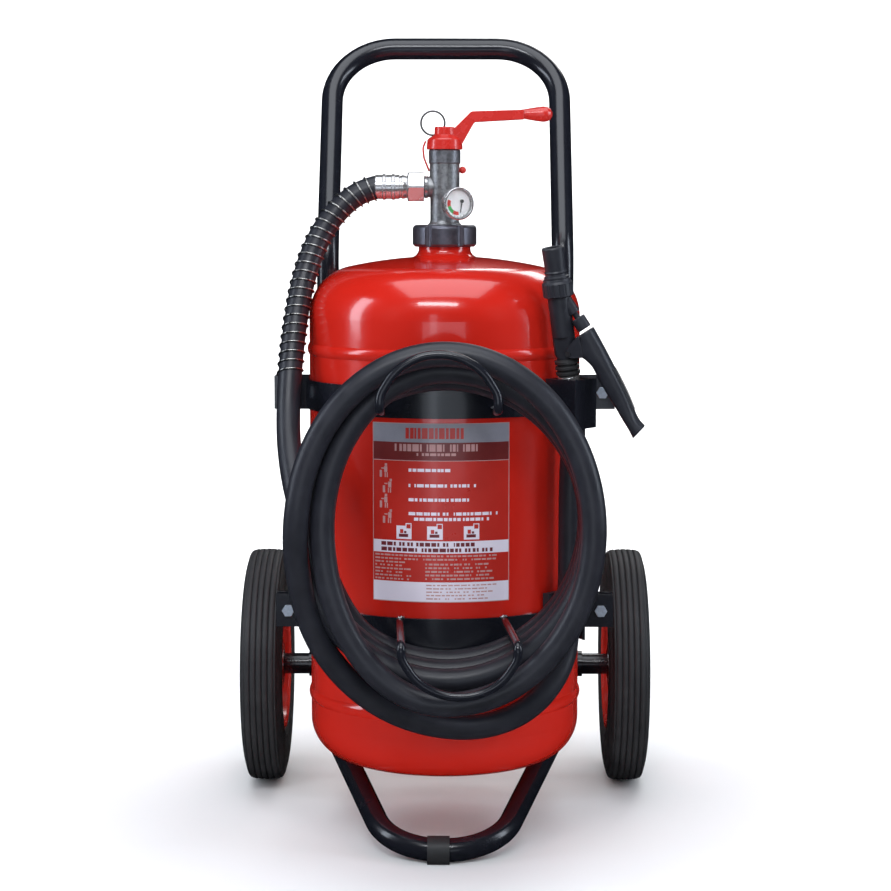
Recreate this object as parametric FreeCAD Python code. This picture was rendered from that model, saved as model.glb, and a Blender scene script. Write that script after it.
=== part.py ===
import FreeCAD, Part
import math
import os

"""Wheeled dry-powder fire extinguisher, 50 kg class trolley unit.  Millimetres.

The unit is drawn with its tank upright, tank axis on the Z axis and the floor near Z = 0.  The
whole unit then leans back about the wheel axle by LEAN degrees, as it stands on its foot, and is
moved so that the origin is the middle of its footprint on the floor.
+X is the side of the discharge nozzle, -Y is the front with the coiled hose, +Z is up.
"""

V = FreeCAD.Vector
X_AXIS, Y_AXIS, Z_AXIS = V(1, 0, 0), V(0, 1, 0), V(0, 0, 1)
ORIGIN = V(0, 0, 0)

# ---------------------------------------------------------------- stance
LEAN = 2.5                  # degrees that the tank leans back, resting on wheels and foot
WHEEL_R = 150.0
AXLE_Y = 202.0              # axle line behind the tank axis
AXLE_Z = WHEEL_R

# ---------------------------------------------------------------- tank
TANK_R = 162.0
WALL = 3.0
TANK_BOTTOM_Z = 66.0
SEAM_LOW_Z = 167.0
SEAM_HIGH_Z = 569.0
TOP_SKIRT = 46.0            # straight part of the upper dome beyond its seam
LOW_SKIRT = 37.0
TOP_KNUCKLE_R = 60.0
LOW_KNUCKLE_R = 50.0
DOME_TOP_Z = 686.0
NECK_R = 31.0
NECK_BORE_R = 26.0
NECK_TOP_Z = 714.0
POWDER_TOP_Z = 556.0
SIPHON_R = 11.0
LABEL_BOTTOM_Z = 294.0
LABEL_TOP_Z = 500.0
LABEL_HALF_ANGLE = 28.8
LABEL_MIDDLE = -91.2        # azimuth of the label's middle line
LABEL_THICKNESS = 0.3

# ---------------------------------------------------------------- valve head
NUT_BOTTOM_Z = 697.0
NUT_TOP_Z = 723.0
NUT_R = 38.4
BODY_R = 17.6
OUTLET_Z = 768.0
BONNET_Z = 795.5
BONNET_R = 19.0
CAP_Z = 812.3               # underside of the lever's cap, just clear of the bonnet
CAP_R = 21.4
BOSS_R = 12.0
BOSS_TOP_Z = 839.0
ARM_Z = 850.8               # middle of the level part of the lever arm, at its bend
ARM_TIP_X = 128.0
STEM_R = 5.0
BALL_R = 13.5
PORT_R = 7.0
RUNNING_GAP = 0.06          # radial clearance of turning and sliding parts
PIN_R = 1.8
PIN_CIRCLE_R = 15.0
PIN_AZIMUTH = 115.0
EYE_Z = 832.0
RING_R = 14.2
RING_WIRE_R = 1.2
RING_CENTRE_X = -14.2

# ---------------------------------------------------------------- gauge
GAUGE_AZIMUTH = -65.0       # the gauge faces the front, turned a little to the right
GAUGE_Z = 748.0
GAUGE_R = 19.3
GAUGE_BACK = 30.0           # from the valve axis
GAUGE_DEPTH = 12.0
NEEDLE_OFFSET = (5.2, 3.0)  # of the needle's pivot from the dial's centre, to the right and up

# ---------------------------------------------------------------- hose
HOSE_D = 28.0
GUARD_R = 16.6
FERRULE_END_X = -83.0
COIL_FRONT_Y = -279.0
COIL_BACK_Y = -167.5
COIL_X = 2.5
COIL_Z = 391.0
COIL_HALF_WIDTH = 178.0
COIL_FRONT_HALF_HEIGHT = 209.0
COIL_BACK_HALF_HEIGHT = 180.0
HOLDER_AZIMUTH = -38.5
HOLDER_RADIUS = 187.4       # of the hose's line in its two holders, from the tank axis
HOLDER_SIZE = 42.0
HOLDER_SHEET = 3.0
HOLDER_TOP_Z = 548.0
HOLDER_HEIGHT = 57.0
CLIP_TOP_Z = 298.0
CLIP_HEIGHT = 56.0

GUN_LEAN = 9.9              # degrees that the gun leans in its holder
GUN_LEAN_AZIMUTH = -140.0   # towards the front and the left
GUN_OFFSET = 3.5            # from the middle of the holder's mouth, towards its lean
GUN_AZIMUTH = -19.0         # direction of its squeeze lever

# ---------------------------------------------------------------- bands and hoops
BAND_WIDTH = 35.0
BAND_SHEET = 4.0
BAND_R = TANK_R + 0.2
BAND_HIGH_Z = 523.0
BAND_LOW_Z = 258.0
EAR_GAP = 14.5
EAR_REACH = 38.0
EAR_BOLT_REACH = 23.0
HOOP_WIRE_R = 5.0
HOOP_FRONT_Y = -286.0

# ---------------------------------------------------------------- frame
TUBE_R = 13.75
LEG_X = 146.0
LEG_Y = 108.0
LEG_BEND_Z = 688.0
LEG_BEND_R = 78.0
LEG_FOOT_Z = 160.0          # where the handle tube is sleeved onto the foot loop
HANDLE_Y = 265.0
HANDLE_Z = 948.0
HANDLE_CORNER_R = 80.0
HEEL_Z = 91.0
HEEL_BEND_R = 55.0
TOE_X = 62.0
FOOT_TIP_Y = -146.0
FOOT_TIP_Z = -0.5
TOE_BEND_R = 82.0
FOOT_CLIP_X = -6.0
AXLE_TUBE_R = 13.5
AXLE_COLLAR_R = 16.5
STUB_R = 10.0

# ---------------------------------------------------------------- wheels
WHEEL_X = 232.0
TYRE_HALF_WIDTH = 26.0
RIM_R = 86.0
BOLT_CIRCLE_R = 55.0
BOLT_TURN = -5.0           # of the bolt pattern, from the vertical
HUB_R = 18.0
HUB_HALF = 21.0

parts = {}


# ================================================================ helpers
def at_azimuth(radius, azimuth, z):
    """A point at a distance from the tank axis; azimuth 0 is +X and -90 the front."""
    angle = math.radians(azimuth)
    return V(radius * math.cos(angle), radius * math.sin(angle), z)


def cylinder(radius, start, end):
    return Part.makeCylinder(radius, (end - start).Length, start, end - start)


def tube(outer, inner, start, end):
    return cylinder(outer, start, end).cut(cylinder(inner, start, end))


def box(size_x, size_y, size_z, centre):
    corner = V(centre.x - size_x / 2, centre.y - size_y / 2, centre.z - size_z / 2)
    return Part.makeBox(size_x, size_y, size_z, corner)


def join(shapes):
    """Fuse shapes that make one solid."""
    first = shapes[0]
    return first.multiFuse(shapes[1:]).removeSplitter() if len(shapes) > 1 else first


def outline(steps):
    """A closed wire: points make straight edges, (via, end) pairs make arcs."""
    edges = []
    here = steps[0]
    for step in steps[1:]:
        if isinstance(step, tuple):
            edges.append(Part.Arc(here, step[0], step[1]).toShape())
            here = step[1]
        else:
            edges.append(Part.LineSegment(here, step).toShape())
            here = step
    if here.distanceToPoint(steps[0]) > 1e-6:
        edges.append(Part.LineSegment(here, steps[0]).toShape())
    return Part.Wire(edges)


def turned(steps, base=ORIGIN, axis=Z_AXIS):
    """The solid that an outline in the XZ plane sweeps round an axis."""
    return Part.Face(outline(steps)).revolve(base, axis, 360)


def turned_along(radii, start, direction):
    """A turned piece from (distance, radius) pairs along a direction; the ends are flat."""
    steps = [V(0, 0, radii[0][0])]
    steps += [V(radius, 0, distance) for distance, radius in radii]
    steps.append(V(0, 0, radii[-1][0]))
    piece = turned(steps)
    piece.Placement = FreeCAD.Placement(start, FreeCAD.Rotation(Z_AXIS, direction))
    return piece


def hexagon(across_flats, start, end, turn=0.0):
    """A hexagonal prism between two points."""
    corner_r = across_flats / 2 / math.cos(math.radians(30))
    corners = []
    for index in range(7):
        angle = math.radians(60 * index + turn)
        corners.append(V(corner_r * math.cos(angle), corner_r * math.sin(angle), 0))
    prism = Part.Face(Part.makePolygon(corners)).extrude(V(0, 0, (end - start).Length))
    prism.Placement = FreeCAD.Placement(start, FreeCAD.Rotation(Z_AXIS, end - start))
    return prism


def corner_arc(before, corner, after, radius):
    """Tangent points and middle of an arc that rounds a corner of a route."""
    back = (before - corner).normalize()
    ahead = (after - corner).normalize()
    turn = math.pi - back.getAngle(ahead)
    reach = radius * math.tan(turn / 2)
    bisector = (back + ahead).normalize()
    centre_distance = radius / math.cos(turn / 2)
    middle = corner + bisector * (centre_distance - radius)
    return corner + back * reach, middle, corner + ahead * reach


def route(points, radii):
    """A wire of straight runs joined by tangent arcs, one radius for each inner point."""
    edges = []
    here = points[0]
    for index, radius in enumerate(radii):
        start, middle, end = corner_arc(points[index], points[index + 1], points[index + 2], radius)
        edges.append(Part.LineSegment(here, start).toShape())
        edges.append(Part.Arc(start, middle, end).toShape())
        here = end
    edges.append(Part.LineSegment(here, points[-1]).toShape())
    return Part.Wire(edges)


def cord_radii(points):
    """The radius at each inner point of a cord: 0.45 of the shorter run over tan(half turn)."""
    radii = []
    for before, corner, after in zip(points, points[1:], points[2:]):
        shorter = min((before - corner).Length, (after - corner).Length)
        turn = math.pi - (before - corner).getAngle(after - corner)
        radii.append(0.45 * shorter / math.tan(turn / 2))
    return radii


def rod(points, radii, radius, name=""):
    """A round bar or hose that follows a route."""
    path = route(points, radii)
    section = Part.Wire(Part.makeCircle(radius, points[0], points[1] - points[0]))
    solid = path.makePipeShell([section], True, False)
    if not solid.isValid() or solid.Volume < 0:
        print("CHECK", name, "is not a valid solid")
    ratio = solid.Volume / (math.pi * radius ** 2 * path.Length)
    if abs(ratio - 1) > 0.01:
        print("CHECK", name, "volume ratio", round(ratio, 4))
    return solid


# ================================================================ tank
def crown_centre(end_z, start_z, radius, knuckle):
    """Centre height and radius of the crown arc that meets the knuckle of a domed end."""
    rise = abs(end_z - start_z)
    inset = radius - knuckle
    crown = (inset ** 2 + rise ** 2 - knuckle ** 2) / (2 * (rise - knuckle))
    direction = 1 if end_z > start_z else -1
    return end_z - direction * crown, crown, direction


def dome_side(radius, knuckle, start_z, end_z, end_r):
    """Outline steps of a domed end: knuckle arc, then crown arc in to radius end_r."""
    centre_z, crown, direction = crown_centre(end_z, start_z, radius, knuckle)
    inset = radius - knuckle
    lean = math.atan2(inset, abs(start_z - centre_z))
    half = math.radians(90) - (math.radians(90) - lean) / 2

    def knuckle_point(angle):
        return V(inset + knuckle * math.sin(angle), 0, start_z + direction * knuckle * math.cos(angle))

    def crown_point(r):
        return V(r, 0, centre_z + direction * math.sqrt(crown ** 2 - r ** 2))

    tangent = knuckle_point(lean)
    return [(knuckle_point(half), tangent), (crown_point((tangent.x + end_r) / 2), crown_point(end_r))]


def tank_top():
    """Upper dome with its skirt, rolled seam and welded neck."""
    skirt_z = SEAM_HIGH_Z + TOP_SKIRT
    inner = TANK_R - WALL
    neck_foot_r = NECK_R + 9
    outer_side = dome_side(TANK_R, TOP_KNUCKLE_R, skirt_z, DOME_TOP_Z, neck_foot_r)
    foot = outer_side[-1][1]
    inner_side = dome_side(inner, TOP_KNUCKLE_R - WALL, skirt_z, DOME_TOP_Z - WALL, NECK_BORE_R)
    steps = [V(inner, 0, SEAM_HIGH_Z), V(TANK_R, 0, SEAM_HIGH_Z)]
    steps.append((V(TANK_R + 2.4, 0, SEAM_HIGH_Z + 7), V(TANK_R, 0, SEAM_HIGH_Z + 14)))
    steps.append(V(TANK_R, 0, skirt_z))
    steps += outer_side
    steps.append((V(NECK_R + 2.4, 0, foot.z + 3.6), V(NECK_R, 0, foot.z + 9)))
    steps += [V(NECK_R, 0, NECK_TOP_Z), V(NECK_BORE_R, 0, NECK_TOP_Z), inner_side[-1][1]]
    steps.append((inner_side[1][0], inner_side[0][1]))
    steps.append((inner_side[0][0], V(inner, 0, skirt_z)))
    return turned(steps)


def tank_bottom():
    """Lower dome with its skirt and rolled seam."""
    skirt_z = SEAM_LOW_Z - LOW_SKIRT
    inner = TANK_R - WALL
    outer_side = dome_side(TANK_R, LOW_KNUCKLE_R, skirt_z, TANK_BOTTOM_Z, 0)
    inner_side = dome_side(inner, LOW_KNUCKLE_R - WALL, skirt_z, TANK_BOTTOM_Z + WALL, 0)
    steps = [V(inner, 0, SEAM_LOW_Z), V(TANK_R, 0, SEAM_LOW_Z)]
    steps.append((V(TANK_R + 2.4, 0, SEAM_LOW_Z - 7), V(TANK_R, 0, SEAM_LOW_Z - 14)))
    steps.append(V(TANK_R, 0, skirt_z))
    steps += outer_side
    steps.append(inner_side[-1][1])
    steps.append((inner_side[1][0], inner_side[0][1]))
    steps.append((inner_side[0][0], V(inner, 0, skirt_z)))
    return turned(steps)


def powder_charge():
    """Extinguishing powder that fills the tank up to the bottom of its gas space."""
    skirt_z = SEAM_LOW_Z - LOW_SKIRT
    inner = TANK_R - WALL - 0.3
    side = dome_side(inner, LOW_KNUCKLE_R - WALL - 0.3, skirt_z, TANK_BOTTOM_Z + WALL + 0.3, 0)
    steps = [V(0, 0, POWDER_TOP_Z), V(inner, 0, POWDER_TOP_Z), V(inner, 0, skirt_z)]
    charge = turned(steps + side)
    return charge.cut(cylinder(SIPHON_R + 0.3, V(0, 0, 0), V(0, 0, POWDER_TOP_Z + 10)))


parts["tank_top"] = tank_top()
parts["tank_shell"] = tube(TANK_R, TANK_R - WALL, V(0, 0, SEAM_LOW_Z), V(0, 0, SEAM_HIGH_Z))
parts["tank_bottom"] = tank_bottom()
parts["powder_charge"] = powder_charge()
parts["siphon_tube"] = tube(SIPHON_R, SIPHON_R - 1.5, V(0, 0, TANK_BOTTOM_Z + 18), V(0, 0, NECK_TOP_Z - 30))


def label_panel():
    """Printed film wrapped on the front of the shell."""
    corner = V(TANK_R + 0.02, 0, LABEL_BOTTOM_Z)
    across = V(LABEL_THICKNESS, 0, 0)
    up = V(0, 0, LABEL_TOP_Z - LABEL_BOTTOM_Z)
    face = Part.Face(outline([corner, corner + across, corner + across + up, corner + up]))
    film = face.revolve(ORIGIN, Z_AXIS, 2 * LABEL_HALF_ANGLE)
    film.rotate(ORIGIN, Z_AXIS, LABEL_MIDDLE - LABEL_HALF_ANGLE)
    return film


parts["label_panel"] = label_panel()


# ================================================================ valve head
def ring_nut():
    """Lobed union nut that clamps the valve onto the neck."""
    blank = turned([V(0, 0, NUT_BOTTOM_Z), V(NUT_R - 3, 0, NUT_BOTTOM_Z), V(NUT_R, 0, NUT_BOTTOM_Z + 3),
                    V(NUT_R, 0, NUT_TOP_Z - 5),
                    (V(NUT_R - 1.4, 0, NUT_TOP_Z - 1.6), V(NUT_R - 4.5, 0, NUT_TOP_Z)),
                    V(0, 0, NUT_TOP_Z)])
    thread = cylinder(NECK_R + 0.1, V(0, 0, NUT_BOTTOM_Z - 1), V(0, 0, NUT_TOP_Z - 3.5))
    throat = cylinder(BODY_R + 2.5, V(0, 0, NUT_BOTTOM_Z), V(0, 0, NUT_TOP_Z + 1))
    nut = blank.cut(thread).cut(throat)
    for index in range(6):
        notch_base = at_azimuth(NUT_R + 2.6, 60 * index, NUT_BOTTOM_Z - 1)
        nut = nut.cut(cylinder(5.2, notch_base, notch_base + Z_AXIS * (NUT_TOP_Z - NUT_BOTTOM_Z + 2)))
    return nut


def gauge_point(distance, sideways=0.0, up=0.0):
    """A point on the gauge's axis, from the valve axis outwards, with offsets on its face."""
    out = at_azimuth(1, GAUGE_AZIMUTH, 0)
    side = V(-out.y, out.x, 0)
    return out * distance + side * sideways + V(0, 0, GAUGE_Z + up)


def valve_body():
    """Angle ball valve casting: inlet below, outlet to the left, boss for the gauge."""
    column = turned([V(0, 0, 684), V(NECK_BORE_R - 0.2, 0, 684), V(NECK_BORE_R - 0.2, 0, NECK_TOP_Z + 1),
                     V(NECK_R - 0.5, 0, NECK_TOP_Z + 1), V(NECK_R - 0.5, 0, NUT_TOP_Z - 3.5),
                     V(BODY_R + 2.2, 0, NUT_TOP_Z - 3.5), V(BODY_R + 2.2, 0, NUT_TOP_Z + 1),
                     (V(BODY_R + 0.6, 0, NUT_TOP_Z + 2.6), V(BODY_R - 0.4, 0, NUT_TOP_Z + 6)),
                     V(BODY_R - 0.4, 0, OUTLET_Z - 14), V(BODY_R + 0.3, 0, OUTLET_Z - 8),
                     V(BODY_R + 0.3, 0, BONNET_Z), V(0, 0, BONNET_Z)])
    outlet = cylinder(12.5, V(0, 0, OUTLET_Z), V(-19.5, 0, OUTLET_Z))
    gauge_boss = cylinder(7.5, gauge_point(0), gauge_point(23.5))
    solid = join([column, outlet, gauge_boss])
    inlet = cylinder(PORT_R, V(0, 0, 683), V(0, 0, OUTLET_Z))
    outlet_bore = cylinder(PORT_R, V(0, 0, OUTLET_Z), V(-20, 0, OUTLET_Z))
    chamber = cylinder(BALL_R + 0.6, V(0, 0, OUTLET_Z - BALL_R - 1), V(0, 0, BONNET_Z + 1))
    siphon_socket = cylinder(SIPHON_R + 0.05, V(0, 0, 683), V(0, 0, 684.1))
    return solid.cut(inlet).cut(outlet_bore).cut(chamber).cut(siphon_socket)


def valve_bonnet():
    """Dark screwed collar that closes the ball chamber and guides the stem and the safety pin."""
    collar = turned([V(0, 0, BONNET_Z), V(BONNET_R - 0.8, 0, BONNET_Z), V(BONNET_R, 0, BONNET_Z + 0.8),
                     V(BONNET_R, 0, CAP_Z - 1.3), V(BONNET_R - 1, 0, CAP_Z - 0.3), V(0, 0, CAP_Z - 0.3)])
    plug = cylinder(BALL_R + 0.5, V(0, 0, OUTLET_Z + BALL_R + 1), V(0, 0, BONNET_Z))
    solid = join([collar, plug])
    solid = solid.cut(cylinder(STEM_R + RUNNING_GAP, V(0, 0, OUTLET_Z), V(0, 0, CAP_Z + 1)))
    slot_corner = V(PIN_CIRCLE_R - PIN_R - 0.3, 0, CAP_Z - 7)
    slot_face = Part.Face(outline([slot_corner, slot_corner + V(2 * PIN_R + 0.6, 0, 0),
                                   slot_corner + V(2 * PIN_R + 0.6, 0, 9), slot_corner + V(0, 0, 9)]))
    slot = slot_face.revolve(ORIGIN, Z_AXIS, 110)
    slot.rotate(ORIGIN, Z_AXIS, PIN_AZIMUTH - 10)
    return solid.cut(slot)


def ball_seats():
    """Two plastic rings that seal the ball against the inlet and the top of its chamber."""
    low = tube(BALL_R + 0.4, PORT_R + 1.2, V(0, 0, OUTLET_Z - BALL_R - 0.9), V(0, 0, OUTLET_Z - 10))
    high = tube(BALL_R + 0.4, PORT_R + 1.2, V(0, 0, OUTLET_Z + 10), V(0, 0, OUTLET_Z + BALL_R + 0.9))
    ball = Part.makeSphere(BALL_R + RUNNING_GAP, V(0, 0, OUTLET_Z))
    return Part.makeCompound([low.cut(ball), high.cut(ball)])


def valve_ball():
    """Ball with an elbow port: closed at rest, its side port faces the front."""
    ball = Part.makeSphere(BALL_R, V(0, 0, OUTLET_Z))
    ball = ball.cut(cylinder(PORT_R, V(0, 0, OUTLET_Z - BALL_R - 1), V(0, 0, OUTLET_Z)))
    ball = ball.cut(cylinder(PORT_R, V(0, 0, OUTLET_Z), V(0, BALL_R + 1, OUTLET_Z)))
    return ball.cut(cylinder(STEM_R + 0.01, V(0, 0, OUTLET_Z + BALL_R - 4), V(0, 0, OUTLET_Z + 20)))


def valve_lever():
    """Red cast cap and arm that turn the stem."""
    cap = turned([V(0, 0, CAP_Z), V(CAP_R, 0, CAP_Z), V(CAP_R, 0, CAP_Z + 3),
                  V(CAP_R - 0.7, 0, CAP_Z + 11.5), V(CAP_R - 2.4, 0, CAP_Z + 13.2),
                  V(BOSS_R + 1.6, 0, CAP_Z + 16.6), V(BOSS_R + 0.3, 0, CAP_Z + 17.4),
                  V(BOSS_R, 0, BOSS_TOP_Z - 0.8), V(BOSS_R - 0.8, 0, BOSS_TOP_Z), V(0, 0, BOSS_TOP_Z)])
    low, high = ARM_Z - 6.5, ARM_Z + 6.5
    arm_half_width = 7.0
    side = [V(4, 0, CAP_Z + 9), V(19.5, 0, CAP_Z + 4), V(21.2, 0, CAP_Z + 7),
            V(34.6, 0, low - 1.4), (V(36.2, 0, low), V(39, 0, low + 0.3)),
            V(ARM_TIP_X - 34, 0, low + 3.4), V(ARM_TIP_X - 34, 0, high + 1.8),
            V(34, 0, high), (V(32, 0, high - 0.4), V(30, 0, high - 1.8)),
            V(12, 0, BOSS_TOP_Z - 1.2), V(4, 0, BOSS_TOP_Z - 2)]
    arm = Part.Face(outline(side)).extrude(V(0, 2 * arm_half_width, 0))
    arm.translate(V(0, -arm_half_width, 0))
    knob_radii = [(0, 5.4), (4, 5.9), (12, 7.2), (20, 8.5), (27, 9.3), (32, 8.6), (35.5, 6.2), (37.5, 2.5)]
    knob = turned_along(knob_radii, V(ARM_TIP_X - 37.5, 0, ARM_Z + 3.2), X_AXIS)
    solid = join([cap, arm, knob])
    solid = solid.cut(cylinder(STEM_R + 0.01, V(0, 0, CAP_Z - 1), V(0, 0, BOSS_TOP_Z - 6)))
    solid = solid.cut(cylinder(7.6, V(0, 0, BOSS_TOP_Z - 5), V(0, 0, BOSS_TOP_Z + 6)))
    solid = solid.cut(cylinder(3.0, V(0, 0, BOSS_TOP_Z - 7), V(0, 0, BOSS_TOP_Z - 4)))
    pin_foot = at_azimuth(PIN_CIRCLE_R, PIN_AZIMUTH, CAP_Z - 1)
    return solid.cut(cylinder(PIN_R + RUNNING_GAP, pin_foot, pin_foot + Z_AXIS * 25))


def safety_pin():
    """Pin that locks the lever, with an eye for its pull ring."""
    foot = at_azimuth(PIN_CIRCLE_R, PIN_AZIMUTH, CAP_Z - 6)
    eye = V(foot.x, foot.y, EYE_Z)
    shank = cylinder(PIN_R, foot, V(eye.x, eye.y, EYE_Z - 1))
    head = cylinder(2.6, eye - Z_AXIS * 2.4, eye + Z_AXIS * 3.4)
    along = ring_tangent()
    hole = cylinder(RING_WIRE_R + 0.5, eye - along * 6, eye + along * 6)
    return join([shank, head]).cut(hole)


def ring_geometry():
    """Eye of the pin and centre of its pull ring; the ring's plane faces the front."""
    eye = at_azimuth(PIN_CIRCLE_R, PIN_AZIMUTH, EYE_Z)
    rise = math.sqrt(RING_R ** 2 - (eye.x - RING_CENTRE_X) ** 2)
    return eye, V(RING_CENTRE_X, eye.y, EYE_Z + rise)


def ring_tangent():
    eye, centre = ring_geometry()
    return (eye - centre).normalize().cross(Y_AXIS)


def pull_ring():
    return Part.makeTorus(RING_R, RING_WIRE_R, ring_geometry()[1], Y_AXIS)


def tamper_seal():
    """Red plastic seal: a loop from the lever's cap down to the neck and round to its bead."""
    wire_r = 1.15
    loop_r = BODY_R + 1.3
    start = V(-CAP_R - 1.3, 5, CAP_Z + 10)
    points = [start, V(-CAP_R - 4.6, 4, CAP_Z + 2), V(-CAP_R - 3.2, 2.5, CAP_Z - 10), V(-loop_r, 0.5, 788)]
    tail = rod(points, [12, 14], wire_r, "tamper tail")
    arc = Part.Arc(V(-loop_r, 0, 788), V(0, loop_r, 788), V(loop_r, 0, 788)).toShape()
    section = Part.Wire(Part.makeCircle(wire_r, V(-loop_r, 0, 788), Y_AXIS))
    round_neck = Part.Wire([arc]).makePipeShell([section], True, False)
    link = Part.makeSphere(wire_r + 0.25, V(-loop_r, 0.3, 788))
    bead = Part.makeSphere(4.3, V(loop_r + 2.4, 0, 788))
    return join([tail, link, round_neck, bead]).cut(cylinder(BODY_R + 0.32, V(0, 0, 780), V(0, 0, 795)))


parts["valve_ring_nut"] = ring_nut()
parts["neck_gasket"] = tube(NECK_R - 0.6, NECK_BORE_R, V(0, 0, NECK_TOP_Z), V(0, 0, NECK_TOP_Z + 1))
parts["valve_body"] = valve_body()
parts["valve_bonnet"] = valve_bonnet()
parts["ball_seats"] = ball_seats()
parts["valve_ball"] = valve_ball()
parts["valve_stem"] = cylinder(STEM_R, V(0, 0, OUTLET_Z + BALL_R - 4), V(0, 0, BOSS_TOP_Z - 6))
parts["valve_lever"] = valve_lever()
parts["lever_screw"] = join([hexagon(13, V(0, 0, BOSS_TOP_Z - 5), V(0, 0, BOSS_TOP_Z - 0.6)),
                             cylinder(2.98, V(0, 0, BOSS_TOP_Z - 6), V(0, 0, BOSS_TOP_Z - 4.9))])
parts["safety_pin"] = safety_pin()
parts["pull_ring"] = pull_ring()
parts["tamper_seal"] = tamper_seal()

# ---------------------------------------------------------------- outlet
HOSE_NUT_END = 44.3


def left_along(distance):
    return V(-distance, 0, OUTLET_Z)


parts["outlet_adapter"] = turned_along(
    [(19.5, 11.6), (20.2, 13.2), (23.5, 13.8), (24.5, 11.5), (34, 11.5)], left_along(0), -X_AXIS).cut(
    cylinder(PORT_R, left_along(18), left_along(36)))
chamfered = turned_along([(22.2, 16), (24.4, 19.4), (42.2, 19.4), (44.3, 16)], left_along(0), -X_AXIS)
parts["hose_nut"] = hexagon(34.5, left_along(24.5), left_along(HOSE_NUT_END), 30).common(chamfered).cut(
    cylinder(11.6, left_along(20), left_along(38))).cut(cylinder(9, left_along(30), left_along(46)))
parts["hose_ferrule"] = turned_along(
    [(38.2, 8.9), (44.3, 8.9), (44.3, 13.2), (49, 14.2), (51, 14.2), (51.6, 13.3), (53.4, 13.3), (54, 14.4),
     (59, 14.4), (59.6, 15.4), (62.6, 15.4), (63.2, 14.4), (70, 14.4), (70.6, 15.4), (73.6, 15.4),
     (74.2, 14.4), (82, 14.4), (83, 14.0)], left_along(0), -X_AXIS).cut(
    cylinder(PORT_R, left_along(37), left_along(84)))


# ================================================================ pressure gauge
def gauge_disc(radius, near, far):
    return cylinder(radius, gauge_point(near), gauge_point(far))


gauge_front = GAUGE_BACK + GAUGE_DEPTH
case_radii = [(0, GAUGE_R - 2), (1.5, GAUGE_R - 0.6), (8.4, GAUGE_R - 0.6), (8.8, GAUGE_R),
              (11.2, GAUGE_R), (12, GAUGE_R - 0.8)]
case = turned_along(case_radii, gauge_point(GAUGE_BACK), at_azimuth(1, GAUGE_AZIMUTH, 0))
gauge_stub = hexagon(13, gauge_point(23.5), gauge_point(GAUGE_BACK))
parts["gauge_case"] = join([case, gauge_stub]).cut(
    gauge_disc(GAUGE_R - 2.2, gauge_front - 6, gauge_front + 1))
parts["gauge_dial"] = gauge_disc(GAUGE_R - 2.3, gauge_front - 6, gauge_front - 5.2)
parts["gauge_lens"] = gauge_disc(GAUGE_R - 2.3, gauge_front - 1.8, gauge_front - 0.6)
NEEDLE_LENGTH = 13.6
needle_side, needle_up = NEEDLE_OFFSET
pivot_low = gauge_point(gauge_front - 5.0, needle_side, needle_up)
pivot_high = gauge_point(gauge_front - 3.2, needle_side, needle_up)
blade_low = gauge_point(gauge_front - 4.5, needle_side, needle_up)
needle_tip = gauge_point(gauge_front - 4.5, needle_side - 2.0, needle_up - NEEDLE_LENGTH)
face_side = at_azimuth(1, GAUGE_AZIMUTH + 90, 0)
blade = Part.Face(outline([blade_low + face_side * 0.9, blade_low - face_side * 0.9,
                           needle_tip - face_side * 0.35, needle_tip + face_side * 0.35])).extrude(
    at_azimuth(0.7, GAUGE_AZIMUTH, 0))
parts["gauge_needle"] = join([cylinder(2.0, pivot_low, pivot_high), blade])


# ================================================================ hose
def holder_point(z, outward=0.0, sideways=0.0):
    """A point near the hose's line in its holders; outward is away from the tank axis."""
    out = at_azimuth(1, HOLDER_AZIMUTH, 0)
    side = V(-out.y, out.x, 0)
    return out * (HOLDER_RADIUS + outward) + side * sideways + V(0, 0, z)


gun_base = holder_point(HOLDER_TOP_Z) + at_azimuth(GUN_OFFSET, GUN_LEAN_AZIMUTH, 0)


def gun_direction(vector):
    """A direction in the gun's own frame (axis Z, lever towards +X), as it points on the unit."""
    tilt = FreeCAD.Rotation(at_azimuth(1, GUN_LEAN_AZIMUTH + 90, 0), GUN_LEAN)
    return tilt.multiply(FreeCAD.Rotation(Z_AXIS, GUN_AZIMUTH)).multVec(vector)


def gun_location(x, z):
    """A point in the gun's own middle plane, placed on the unit."""
    return gun_direction(V(x, 0, z)) + gun_base


def gun_place(shape):
    """Move a shape from the gun's own frame to the unit."""
    placed = shape.copy()
    placed.rotate(ORIGIN, Z_AXIS, GUN_AZIMUTH)
    placed.rotate(ORIGIN, at_azimuth(1, GUN_LEAN_AZIMUTH + 90, 0), GUN_LEAN)
    placed.translate(gun_base)
    return placed


RISER_POINTS = [V(FERRULE_END_X + 3, 0, OUTLET_Z), V(-97, 0, 763.5), V(-113, -2, 753.5),
                V(-128, -4.5, 739.5), V(-141.5, -8, 722), V(-152.5, -13, 702), V(-161.5, -20, 679),
                V(-168.5, -29, 653), V(-173.5, -41, 624), V(-177.5, -54, 592), V(-180.5, -68, 556),
                V(-182, -84, 516), V(-181, -102, 478), V(-176, -126, 446), V(-169, -148, 418),
                V(-161, -163, 396)]
GUARD_POINTS = 10           # the guard ends halfway along the run after this many points
TAIL_POINTS = [V(-160, -236, 322), V(-142, -228, 262), V(-108, -215, 213), V(-62, -203, 176),
               V(-8, -192, 156), V(48, -180, 152), V(97, -163, 168), V(131, -140, 202),
               holder_point(244), holder_point(438)]
GUN_INLET_Z = -24.0         # where the hose ends in the gun's ferrule, along the gun's axis
GUN_HOSE_RUN = 30.0         # the hose's last run, in line with the gun

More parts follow.
